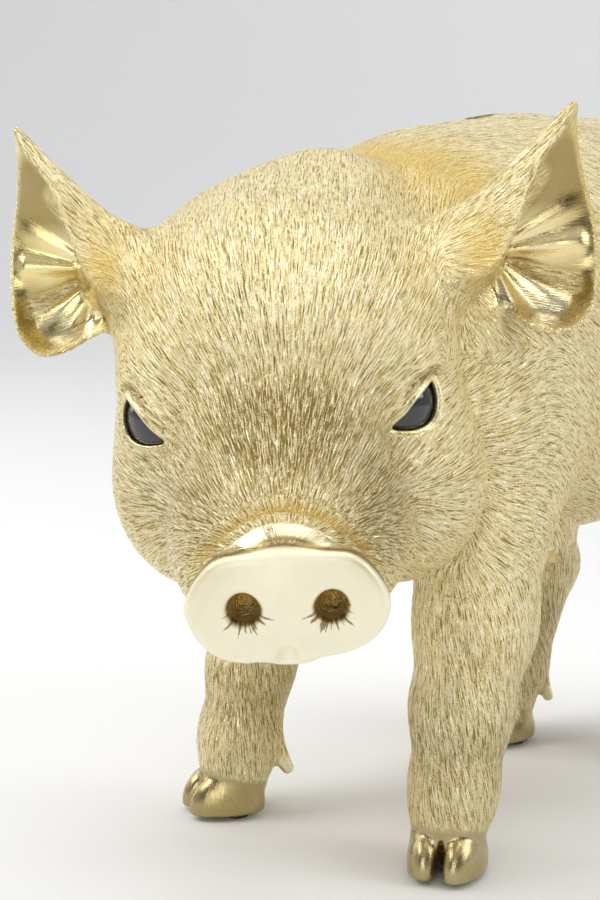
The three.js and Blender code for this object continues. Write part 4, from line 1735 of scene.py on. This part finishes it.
@dataclass(frozen=True)
class GlassFinish:
    """Dark glass of the eyes, with a brown iris round a black pupil."""

    name: str = "eye_glass_dark"
    pupil: tuple[float, float, float] = (0.004, 0.004, 0.006)
    iris: tuple[float, float, float] = (0.014, 0.013, 0.017)

    def build(self) -> bpy.types.Material:
        """Wires the glass."""
        w = Wiring(self.name)
        w.link(w.mix(w.noise(160.0, 3.0), self.pupil, self.iris), w.shader.inputs["Base Color"])
        w.shader.inputs["Coat Weight"].default_value = 0.35
        w.shader.inputs["Coat Roughness"].default_value = 0.02
        w.shader.inputs["Specular IOR Level"].default_value = 0.7
        w.link(w.remap(w.noise(900.0, 2.0), 0.3, 0.7, (0.03, 0.07)), w.shader.inputs["Roughness"])
        return w.material


@dataclass(frozen=True)
class PlainFinish:
    """A finish with two tones of one colour, a grain and a roughness range.

    Attributes:
        name: The material's name.
        light: The lighter tone.
        dark: The darker tone.
        metal: How metallic it is.
        rough: Lowest and highest roughness.
        grain: Grain features for each metre.
        stretch: Squeeze of the grain along X, Y and Z.
        depth: Depth of the grain in metres.
    """

    name: str
    light: tuple[float, float, float]
    dark: tuple[float, float, float]
    metal: float
    rough: tuple[float, float]
    grain: float = 700.0
    stretch: tuple[float, float, float] = (1.0, 1.0, 1.0)
    depth: float = 0.00005

    def build(self) -> bpy.types.Material:
        """Wires the finish.

        Returns:
            The material.
        """
        w = Wiring(self.name)
        squeeze = w.node("VectorMath", operation="MULTIPLY")
        w.link(w.place(), squeeze.inputs[0])
        squeeze.inputs[1].default_value = self.stretch
        grain = w.noise(self.grain, 3.0, squeeze.outputs[0])
        patches = w.noise(self.grain / 9.0, 2.0)
        share = w.math("ADD", w.math("MULTIPLY", grain, 0.5), w.math("MULTIPLY", patches, 0.5))
        w.link(w.mix(w.remap(share, 0.35, 0.65), self.dark, self.light), w.shader.inputs["Base Color"])
        w.shader.inputs["Metallic"].default_value = self.metal
        w.link(w.remap(grain, 0.3, 0.7, self.rough), w.shader.inputs["Roughness"])
        w.link(w.bump(grain, self.depth), w.shader.inputs["Normal"])
        return w.material


STEEL = PlainFinish("turned_steel", (0.62, 0.62, 0.61), (0.40, 0.40, 0.40), 1.0, (0.24, 0.42), 1400.0, (1, 1, 6))
BRASS = PlainFinish("turned_brass", (0.78, 0.62, 0.30), (0.55, 0.40, 0.16), 1.0, (0.22, 0.40), 1400.0, (1, 1, 6))
PUTTY = PlainFinish("bedding_putty", (0.45, 0.40, 0.33), (0.30, 0.26, 0.21), 0.0, (0.75, 0.95), 500.0)
RUBBER = PlainFinish("hoof_rubber", (0.055, 0.055, 0.058), (0.025, 0.025, 0.028), 0.0, (0.6, 0.85), 900.0)

# ------------------------------------------------------------------ the castings


@dataclass(frozen=True)
class CoinFittings:
    """Openings of the coin chamber, in body axes and millimetres.

    Attributes:
        wall: Thickness of the castings.
        slot_y: Middle of the coin slot.
        slot: Width and length of the coin slot.
        trap_y: Middle of the coin trap.
        trap_hole: Radius of the trap's opening.
        pad: Radius of the flat floor round the trap.
        face: Height of the floor's underside.
        floor_top: Height of the floor's upper side.
        pivot: The trap's pivot, as (x, y).
        pivot_ear: Reach of the floor round the pivot.
        pivot_bore: Radius of the pivot's bore.
        pivot_boss: Radius of the boss over the pivot.
        pivot_top: Height of the boss over the pivot.
        screws: The two body screws, as (y, z).
        screw_boss: Radius of a body screw's boss.
        screw_head: Radius of the sink for a screw's head.
        screw_bore: Radius of a body screw's bore.
        screw_seat: How far the sink's floor lies inside the screw's end.
        tail: Where the tail's root enters, as (y, z).
        tail_bore: Radius of the tail's bore.
    """

    wall: float = 4.5
    slot_y: float = 75.0
    slot: tuple[float, float] = (6.0, 36.0)
    trap_y: float = 70.0
    trap_hole: float = 16.0
    pad: float = 24.0
    face: float = 75.0
    floor_top: float = 82.0
    pivot: tuple[float, float] = (-16.0, 54.0)
    pivot_ear: float = 11.0
    pivot_bore: float = 2.3
    pivot_boss: float = 6.0
    pivot_top: float = 89.0
    screws: tuple[tuple[float, float], tuple[float, float]] = ((40.0, 158.0), (150.0, 142.0))
    screw_boss: float = 7.5
    screw_head: float = 5.3
    screw_bore: float = 2.8
    screw_seat: float = 2.6
    tail: tuple[float, float] = (174.0, 163.0)
    tail_bore: float = 4.2

    def chamber(self, p: Array) -> Array:
        """Signed distance from the hollow inside head and body.

        Args:
            p: Points in body axes.

        Returns:
            One distance for each point, below 0 in the hollow.
        """
        body = np.maximum(TORSO.core(p) + self.wall, NECK.ahead(p) + NECK.web)
        for y, z in self.screws:
            boss = np.hypot(p[:, 1] - y, p[:, 2] - z) - self.screw_boss
            body = np.maximum(body, -boss)
        pad = np.maximum(np.hypot(p[:, 0], p[:, 1] - self.trap_y) - self.pad, p[:, 2] - self.floor_top)
        body = np.maximum(body, -pad)
        pivot = np.hypot(p[:, 0] - self.pivot[0], p[:, 1] - self.pivot[1]) - self.pivot_boss
        body = np.maximum(body, -np.maximum(pivot, p[:, 2] - self.pivot_top))
        q = HEAD_AXES.to_head(p)
        head = np.maximum(HEAD.core(q) + self.wall + 1.5, NECK.web - NECK.ahead(p))
        head = np.maximum(head, NECK.throat + NECK.web - p[:, 2])
        for eye in HEAD.eyes:
            ball = np.sqrt(((q - eye.centre()) ** 2).sum(axis=1)) - eye.ball - 4.0
            head = np.maximum(head, -ball)
        return np.minimum(np.minimum(body, head), NECK.passage(p))


FITTINGS = CoinFittings()


@dataclass
class Castings:
    """The piglet's gold castings: head, two body halves and two ears.

    Attributes:
        step: Spacing of the first net, millimetres.
        finish: The gold finish.
    """

    finish: bpy.types.Material
    step: float = 0.9
    low: tuple[float, float, float] = (-58.0, -92.0, -2.0)
    high: tuple[float, float, float] = (76.0, 186.0, 206.0)
    pieces: dict[str, bpy.types.Object] = field(default_factory=dict)

    def belly_pad(self, p: Array) -> Array:
        """Signed distance from the flat pad that carries the coin trap."""
        disc = np.hypot(p[:, 0], p[:, 1] - FITTINGS.trap_y) - FITTINGS.pad
        px, py = FITTINGS.pivot
        ear = np.hypot(p[:, 0] - px, p[:, 1] - py) - FITTINGS.pivot_ear
        pad = np.minimum(disc, ear)
        return smooth_max(np.maximum(pad, p[:, 2] - 100.0), FITTINGS.face - p[:, 2], 1.0)

    def form(self, p: Array) -> Array:
        """Signed distance from the piglet with its belly pad."""
        d = piglet_distance(p)
        near = np.flatnonzero((np.abs(p[:, 1] - 66) < 40) & (p[:, 2] < 106) & (p[:, 2] > 66))
        if near.size:
            d[near] = smooth_min(d[near], self.belly_pad(p[near]), 1.6)
        return d

    def modelled(self) -> bpy.types.Object:
        """Models the whole skin in one piece, with its hair.

        Returns:
            The solid blank that the castings are cut from.
        """
        net = Net(self.low, self.high, self.step)
        skin = net.wrap(self.form)
        LOG.info("net: %d points", len(skin.points))
        skin.relax(3)
        skin.to_surface(self.form, 1)
        skin = skin.subdivide()
        skin.relax(1)
        skin.to_surface(self.form, 1)
        LOG.info("skin: %d points", len(skin.points))
        normal = skin.normals()
        flow = COAT.lie(skin.points, normal)
        stroke = COAT.strokes(skin, flow)
        fur = ZONES.marks(skin.points)[Zone.FUR]
        quiet = blend(skin.points[:, 2], SOLE + 0.5, SOLE + 3.0)
        pad = blend(self.belly_pad(skin.points), 0.3, 2.0)
        height = stroke * COAT.depth * fur * quiet * pad
        skin.points += normal * height[:, None]
        blank = object_from_skin("blank", skin)
        lay(blank.data, Zone.STROKE.value, 0.5 + 0.5 * np.clip(stroke, -1, 1) * fur)
        LOG.info("blank: %d points", len(skin.points))
        return blank

    def ear_room(self, ear: EarForm) -> bpy.types.Object:
        """Makes the solid that parts an ear from the head."""
        s = ear.side.value

        def room(p: Array) -> Array:
            """Signed distance from the room, open-ended."""
            q = HEAD_AXES.to_head(p)
            box = np.maximum(26.0 - q[:, 0] * s, 130.0 - q[:, 2])
            box = np.maximum(box, np.abs(q[:, 1] + 13.0) - 19.0)
            clear = np.minimum(HEAD.core(q), TORSO.core(p) + 1.5)
            return np.maximum(box, 1.0 - clear)

        corner = np.array([[x * s, y, z] for x in (24, 80) for y in (-50, 24) for z in (126, 202)])
        world = HEAD_AXES.to_body(corner.astype(float))
        low, high = world.min(axis=0) - 2, world.max(axis=0) + 2

        def closed(p: Array) -> Array:
            """Signed distance from the room, closed just inside the net."""
            return np.maximum(room(p), np.maximum(low - p, p - high).max(axis=1) + 3.0)

        skin = Net(tuple(low), tuple(high), 1.6).wrap(closed)
        skin.relax(2)
        return object_from_skin("ear_room", skin)

    def head_room(self) -> bpy.types.Object:
        """Makes the wedge that the head casting is cut to."""
        a = math.radians(NECK.yaw)
        ahead = np.array([math.sin(a), -math.cos(a), 0.0])
        across = np.array([math.cos(a), math.sin(a), 0.0])
        base = np.array([NECK.point[0], NECK.point[1], NECK.throat])
        corners = [
            base + ahead * u + across * v + np.array([0.0, 0.0, w])
            for u, w in ((0, 0), (0, 200), (200, 200), (200, -15), (22, -15))
            for v in (-150, 150)
        ]
        return hull("head_room", np.array(corners))

    def cut_apart(self, blank: bpy.types.Object) -> None:
        """Cuts the blank into its castings.

        Args:
            blank: The whole solid skin.
        """
        left_ear, right_ear = (self.ear_room(ear) for ear in HEAD.ears)
        rooms = machined(left_ear, right_ear, Cut.JOIN, "ear_rooms")
        pair = machined(blank, rooms, Cut.KEEP, "ear_pair")
        rest = machined(blank, rooms, Cut.REMOVE, "rest")
        for side, room in ((Side.LEFT, left_ear), (Side.RIGHT, right_ear)):
            casting = machined(pair, room, Cut.KEEP, f"{side.word}_ear_casting")
            drop_crumbs(casting)
            self.pieces[f"{side.word}_ear"] = casting
        discard(blank, left_ear, right_ear, rooms, pair)
        core = self.chamber_core()
        wedge = self.head_room()
        head = machined(rest, wedge, Cut.KEEP, "head_blank")
        body = machined(rest, wedge, Cut.REMOVE, "body_blank")
        self.pieces["head_shell"] = machined(head, core, Cut.REMOVE, "head_casting")
        tools = core
        for tool in self.cutters():
            joined = machined(tools, tool, Cut.JOIN, "tools")
            discard(tools, tool)
            tools = joined
        hollow = machined(body, tools, Cut.REMOVE, "body_hollow")
        left_room = block("left_room", (0.0, -300.0, -50.0), (300.0, 400.0, 400.0))
        self.pieces["body_left_shell"] = machined(hollow, left_room, Cut.KEEP, "body_left_casting")
        self.pieces["body_right_shell"] = machined(hollow, left_room, Cut.REMOVE, "body_right_casting")
        discard(rest, wedge, head, body, tools, hollow, left_room)

    def cutters(self) -> list[bpy.types.Object]:
        """Makes the cutters of the body halves: trap hole, coin slot and bores."""
        f = FITTINGS
        width, length = f.slot
        px, py = f.pivot
        tools = [
            block("slot", (-width / 2, f.slot_y - length / 2, 176.0), (width / 2, f.slot_y + length / 2, 216.0)),
            round_bar("trap_hole", (0, f.trap_y, f.face - 4), (0, f.trap_y, f.face + 30), f.trap_hole, 96),
            round_bar("pivot_bore", (px, py, f.face - 4), (px, py, f.face + 10), f.pivot_bore, 32),
        ]
        for (y, z), node in zip(f.screws, ("front_body_screw", "rear_body_screw")):
            seat = (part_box(node)[0][0] / MM - PLACEMENT.offset()[0]) + f.screw_seat
            tools.append(round_bar("screw_bore", (seat, y, z), (22, y, z), f.screw_bore, 32))
            tools.append(round_bar("screw_sink", (seat, y, z), (-90, y, z), f.screw_head, 48))
        tail_y, tail_z = f.tail
        tools.append(round_bar("tail_bore", (0, tail_y - 20, tail_z), (0, tail_y + 20, tail_z), f.tail_bore, 48))
        return tools

    def chamber_core(self) -> bpy.types.Object:
        """Makes the sand core that leaves the hollow."""
        skin = Net((-62, -96, 62), (84, 186, 210), 2.0, 3).wrap(FITTINGS.chamber)
        skin.relax(2)
        return object_from_skin("core", skin)

    def dress(self, piece: bpy.types.Object) -> None:
        """Marks a casting's zones and hair direction and gives it its finish.

        Args:
            piece: The casting.
        """
        mesh = piece.data
        points = mesh_points(mesh)
        normal = np.empty(len(points) * 3, dtype=np.float32)
        mesh.vertex_normals.foreach_get("vector", normal)
        normal = normal.reshape(-1, 3).astype(float)
        ends = np.empty(len(mesh.edges) * 2, dtype=np.int32)
        mesh.edges.foreach_get("vertices", ends)
        ends = ends.reshape(-1, 2)
        both = np.concatenate([ends, ends[:, ::-1]])
        for _ in range(6):
            for axis in range(3):
                column = normal[:, axis]
                column += np.bincount(both[:, 0], column[both[:, 1]], len(column))
            normal /= np.sqrt((normal**2).sum(axis=1))[:, None] + 1e-9
        lay(mesh, "flow", COAT.lie(points, normal))
        for zone, values in ZONES.marks(points).items():
            lay(mesh, zone.value, np.clip(values, 0, 1))
        lay(mesh, "nostril", ZONES.nostrils(points))
        mesh.materials.clear()
        mesh.materials.append(self.finish)
        smooth_faces(mesh)
        mesh.set_sharp_from_angle(angle=math.radians(70))

    def build(self) -> None:
        """Models, cuts, dresses and mounts every casting."""
        blank = self.modelled()
        self.cut_apart(blank)
        for node, piece in self.pieces.items():
            self.dress(piece)
            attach(piece, "bank")
            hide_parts(node)
            LOG.info("%s: %d faces", piece.name, len(piece.data.polygons))


# ------------------------------------------------------------------ eyes, tail and hardware


@dataclass(frozen=True)
class GlassEye:
    """A glass ball behind the lids of one eye."""

    form: EyeForm
    rings: int = 48

    def build(self, finish: bpy.types.Material) -> bpy.types.Object:
        """Makes the ball, slightly domed in front, and mounts it.

        Args:
            finish: The glass.

        Returns:
            The eye.
        """
        shape = bmesh.new()
        bmesh.ops.create_uvsphere(shape, u_segments=self.rings, v_segments=self.rings // 2, radius=1.0)
        points = np.array([v.co for v in shape.verts])
        _, _, out = self.form.axes()
        ahead = np.clip(points @ out, 0.0, 1.0)
        swell = 1.0 + 0.035 * ahead**6
        world = HEAD_AXES.to_body(self.form.centre() + points * swell[:, None] * (self.form.ball - 0.05))
        for vert, place in zip(shape.verts, PLACEMENT.world(world)):
            vert.co = place
        mesh = bpy.data.meshes.new(f"{self.form.side.word}_eye")
        shape.to_mesh(mesh)
        shape.free()
        smooth_faces(mesh)
        mesh.materials.append(finish)
        eye = new_object(f"{self.form.side.word}_eye_ball", mesh)
        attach(eye, "bank")
        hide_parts(f"{self.form.side.word}_eye_glass")
        return eye


@dataclass(frozen=True)
class Tail:
    """The curled tail, its root set into the tail bore.

    Attributes:
        bends: Places that the tail passes, from its seat, millimetres.
        radii: Radius at the root and at the tip.
    """

    bends: tuple[tuple[float, float, float], ...] = (
        (0, -4, 0),
        (0, 3, 0),
        (0, 8, 0.4),
        (1, 14, 3),
        (5, 18, 10),
        (11, 17, 17),
        (16, 12, 15),
        (17, 9, 8),
    )
    radii: tuple[float, float] = (4.1, 1.7)
    around: int = 40
    steps: int = 150

    def spine(self) -> Array:
        """Runs a smooth curve through the bends."""
        seat = np.array([0.0, *FITTINGS.tail])
        knots = np.array(self.bends, dtype=float) + seat
        padded = np.concatenate([[2 * knots[0] - knots[1]], knots, [2 * knots[-1] - knots[-2]]])
        rows = []
        for at in np.linspace(0, len(knots) - 1 - 1e-6, self.steps):
            i, t = int(at), at - int(at)
            a, b, c, d = padded[i : i + 4]
            square, cube = 2 * a - 5 * b + 4 * c - d, 3 * b - a - 3 * c + d
            rows.append(0.5 * (2 * b + (c - a) * t + square * t**2 + cube * t**3))
        return np.array(rows)

    def build(self, finish: bpy.types.Material) -> bpy.types.Object:
        """Lofts the tail, combs it and mounts it.

        Args:
            finish: The gold.

        Returns:
            The tail.
        """
        spine = self.spine()
        tangent = np.gradient(spine, axis=0)
        tangent /= np.linalg.norm(tangent, axis=1)[:, None]
        up = np.array([0.0, 0.0, 1.0])
        rng = np.random.default_rng(5)
        hair = rng.standard_normal(self.around)
        rings, flows = [], []
        for i, (centre, along) in enumerate(zip(spine, tangent)):
            up = up - along * (up @ along)
            up /= np.linalg.norm(up)
            side = np.cross(along, up)
            share = i / (self.steps - 1)
            radius = self.radii[0] + (self.radii[1] - self.radii[0]) * share
            radius *= math.sqrt(max(0.02, 1 - max(0.0, (share - 0.95) / 0.05) ** 2))
            hair = 0.93 * hair + 0.37 * rng.standard_normal(self.around)
            wave = 0.5 * hair + 0.25 * (np.roll(hair, 1) + np.roll(hair, -1))
            angle = np.arange(self.around) / self.around * 2 * math.pi
            reach = radius + 0.14 * wave
            across = np.cos(angle)[:, None] * side * reach[:, None]
            above = np.sin(angle)[:, None] * up * reach[:, None]
            rings.append(centre + across + above)
            flows.append(np.repeat(along[None, :], self.around, axis=0))
        points = np.concatenate(rings + [spine[:1], spine[-1:]])
        index = np.arange(self.around * self.steps).reshape(self.steps, self.around)
        after = np.roll(index, -1, 1)
        a, b = index[:-1].ravel(), after[:-1].ravel()
        c, d = after[1:].ravel(), index[1:].ravel()
        triangles = np.concatenate([np.stack([a, b, c], 1), np.stack([a, c, d], 1)])
        first = np.full(self.around, len(points) - 2)
        last = np.full(self.around, len(points) - 1)
        caps = [np.stack([first, after[0], index[0]], 1), np.stack([last, index[-1], after[-1]], 1)]
        mesh = mesh_from_arrays("tail", PLACEMENT.world(points), np.concatenate([triangles, *caps]))
        smooth_faces(mesh)
        lay(mesh, "flow", np.concatenate(flows + [tangent[:1], tangent[-1:]]))
        plain = {Zone.FUR: 1.0, Zone.STROKE: 0.5}
        for zone in Zone:
            lay(mesh, zone.value, np.full(len(points), plain.get(zone, 0.0)))
        lay(mesh, "nostril", np.full(points.shape, NO_NOSTRIL))
        mesh.materials.append(finish)
        tail = new_object("tail_casting", mesh)
        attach(tail, "bank")
        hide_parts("tail")
        return tail


@dataclass(frozen=True)
class Hardware:
    """Screws, nuts, washer, pin, trap cover and pads, with broken edges.

    Attributes:
        edge: Width of the broken edges in metres.
    """

    edge: float = 0.00025

    def build(self, node: str, name: str, body: str, slot: str, finish: bpy.types.Material) -> bpy.types.Object:
        """Makes a finer copy of a plain node.

        Args:
            node: The node that it stands for.
            name: Name of the new piece.
            body: The body that it rides on.
            slot: Its material slot in the record; not used.
            finish: Its finish.

        Returns:
            The piece.
        """
        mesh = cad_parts[node].data.copy()
        mesh.name = name
        shape = bmesh.new()
        shape.from_mesh(mesh)
        bmesh.ops.remove_doubles(shape, verts=shape.verts, dist=1e-6)
        bmesh.ops.dissolve_limit(
            shape, angle_limit=math.radians(1.0), verts=shape.verts, edges=shape.edges, delimit=set()
        )
        sharp = [e for e in shape.edges if len(e.link_faces) == 2 and e.calc_face_angle() > math.radians(35)]
        bmesh.ops.bevel(
            shape, geom=sharp, offset=self.edge, segments=2, profile=0.5, affect="EDGES", clamp_overlap=True
        )
        shape.to_mesh(mesh)
        shape.free()
        mesh.materials.clear()
        mesh.materials.append(finish)
        smooth_faces(mesh)
        mesh.set_sharp_from_angle(angle=math.radians(30))
        piece = new_object(name, mesh)
        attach(piece, body)
        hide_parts(node)
        return piece


# ------------------------------------------------------------------ the studio


@dataclass(frozen=True)
class Studio:
    """A pale bowl of a studio, its soft lights and the camera."""

    camera_place: tuple[float, float, float] = (303.0, -311.0, 169.0)
    look: tuple[float, float] = (45.0, 8.0)
    lens: float = 68.0
    floor_radius: float = 1.6
    wall_radius: float = 3.4
    wall_height: float = 2.6
    dim: tuple[float, float, float] = (0.16, 0.16, 0.165)

    def bowl(self) -> None:
        """Turns the seamless floor and wall."""
        rise = self.wall_radius - self.floor_radius
        profile = [(0.0, 0.0), (0.4, 0.0), (0.9, 0.0)]
        for i in range(17):
            a = i / 16 * math.pi / 2
            profile.append((self.floor_radius + rise * math.sin(a), rise * (1 - math.cos(a))))
        profile.append((self.wall_radius, self.wall_height))
        shape = bmesh.new()
        sides = 128
        rings = []
        for radius, height in profile[1:]:
            ring = []
            for k in range(sides):
                angle = k / sides * 2 * math.pi
                ring.append(shape.verts.new((radius * math.cos(angle), radius * math.sin(angle), height)))
            rings.append(ring)
        for inner, outer in zip(rings, rings[1:]):
            for k in range(sides):
                shape.faces.new((inner[k], outer[k], outer[(k + 1) % sides], inner[(k + 1) % sides]))
        shape.faces.new(rings[0])
        for face in shape.faces:
            face.smooth = True
        mesh = bpy.data.meshes.new("studio_bowl")
        shape.to_mesh(mesh)
        shape.free()
        w = Wiring("studio_paper")
        pale = w.mix(w.noise(1.2, 2.0), (0.80, 0.795, 0.785), (0.83, 0.83, 0.83))
        place = w.node("SeparateXYZ")
        w.link(w.place(), place.inputs[0])
        left, back = (w.math("MULTIPLY", place.outputs[axis], 0.7) for axis in (0, 1))
        towards = w.math("SUBTRACT", left, back)
        shade = w.math("MULTIPLY", w.remap(towards, 0.9, 2.4), w.remap(place.outputs[2], 0.0, 0.5))
        tone = w.mix(shade, pale, self.dim)
        w.link(tone, w.shader.inputs["Base Color"])
        w.shader.inputs["Roughness"].default_value = 0.9
        mesh.materials.append(w.material)
        new_object("studio_bowl", mesh)

    def softbox(
        self, name: str, place: Sequence[float], aim: Sequence[float], size: tuple[float, float], power: float
    ) -> None:
        """Hangs one soft light.

        Args:
            name: The light's name.
            place: Where it hangs, metres.
            aim: What it points at, metres.
            size: Width and height, metres.
            power: Power in watts.
        """
        data = bpy.data.lights.new(name, "AREA")
        data.shape = "RECTANGLE"
        data.size, data.size_y = size
        data.energy = power
        light = bpy.data.objects.new(name, data)
        light.location = place
        light.rotation_euler = (Vector(aim) - Vector(place)).to_track_quat("-Z", "Y").to_euler()
        bpy.context.scene.collection.objects.link(light)

    def build(self) -> None:
        """Sets the floor, the lights, the air and the camera."""
        self.bowl()
        aim = (0.0, -0.05, 0.10)
        self.softbox("key", (-0.75, -1.05, 1.45), aim, (1.0, 1.0), 13.5)
        self.softbox("top", (0.1, 0.1, 1.7), aim, (1.3, 1.3), 10.5)
        self.softbox("left", (-1.5, -0.3, 0.7), aim, (0.8, 1.1), 4.0)
        self.softbox("right", (1.2, 0.7, 0.9), aim, (0.7, 1.1), 7.5)
        self.softbox("front", (0.75, -1.15, 0.45), aim, (0.9, 0.7), 4.2)
        self.softbox("backdrop", (-0.3, 1.5, 2.4), (-2.2, 3.6, 2.0), (2.0, 2.0), 21.0)
        world = bpy.data.worlds.new("studio_air")
        world.use_nodes = True
        world.node_tree.nodes["Background"].inputs["Color"].default_value = (0.95, 0.97, 1.0, 1.0)
        world.node_tree.nodes["Background"].inputs["Strength"].default_value = 0.55
        bpy.context.scene.world = world
        data = bpy.data.cameras.new("camera")
        data.lens = self.lens
        data.sensor_fit = "VERTICAL"
        data.sensor_height = 36.0
        data.sensor_width = 24.0
        camera = bpy.data.objects.new("camera", data)
        turn, down = (math.radians(v) for v in self.look)
        ahead = Vector((-math.sin(turn) * math.cos(down), math.cos(turn) * math.cos(down), -math.sin(down)))
        camera.location = Vector(PLACEMENT.world(np.array(self.camera_place)))
        camera.rotation_euler = ahead.to_track_quat("-Z", "Y").to_euler()
        bpy.context.scene.collection.objects.link(camera)
        bpy.context.scene.camera = camera
        bpy.context.scene.view_settings.view_transform = "Standard"


def main() -> None:
    """Builds the piglet bank and its studio, and logs the castings, eyes and tail."""
    logging.basicConfig(level=logging.INFO, format="%(name)s %(relativeCreated)d ms: %(message)s")
    gold = GoldFinish().build()
    Studio().build()
    castings = Castings(gold)
    castings.build()
    LOG.info("castings ready")
    glass = GlassFinish().build()
    for form in HEAD.eyes:
        LOG.info("eye: %s", GlassEye(form).build(glass).name)
    LOG.info("tail: %s", Tail().build(gold).name)
    steel, brass = STEEL.build(), BRASS.build()
    putty, rubber = PUTTY.build(), RUBBER.build()
    plain_gold = PlainFinish(
        "gold_lacquer_plain", (0.80, 0.64, 0.33), (0.60, 0.43, 0.17), 0.9, (0.26, 0.42), 500.0, depth=0.00008
    ).build()
    hardware = Hardware()
    for side in Side:
        hardware.build(f"{side.word}_ear_nut", f"{side.word}_stem_nut", "bank", "steel_fastener", steel)
        hardware.build(f"{side.word}_eye_putty", f"{side.word}_eye_bedding", "bank", "bedding_putty", putty)
    for end in ("front", "rear"):
        hardware.build(f"{end}_body_screw", f"{end}_flank_screw", "bank", "steel_fastener", steel)
    hardware.build("trap_spring_washer", "trap_washer", "bank", "steel_fastener", steel)
    hardware.build("trap_stop_pin", "trap_pin", "bank", "steel_fastener", steel)
    hardware.build("trap_pivot_screw", "trap_screw", "bank", "brass_screw", brass)
    hardware.build("trap_plate", "trap_cover", "trap", "gold_casting", plain_gold)
    for foot in FEET:
        for claw in ("outer", "inner"):
            hardware.build(f"{foot}_{claw}_hoof_pad", f"{foot}_{claw}_pad", "bank", "rubber_pad", rubber)
    LOG.info("hardware ready")


if __name__ == "__main__":
    main()
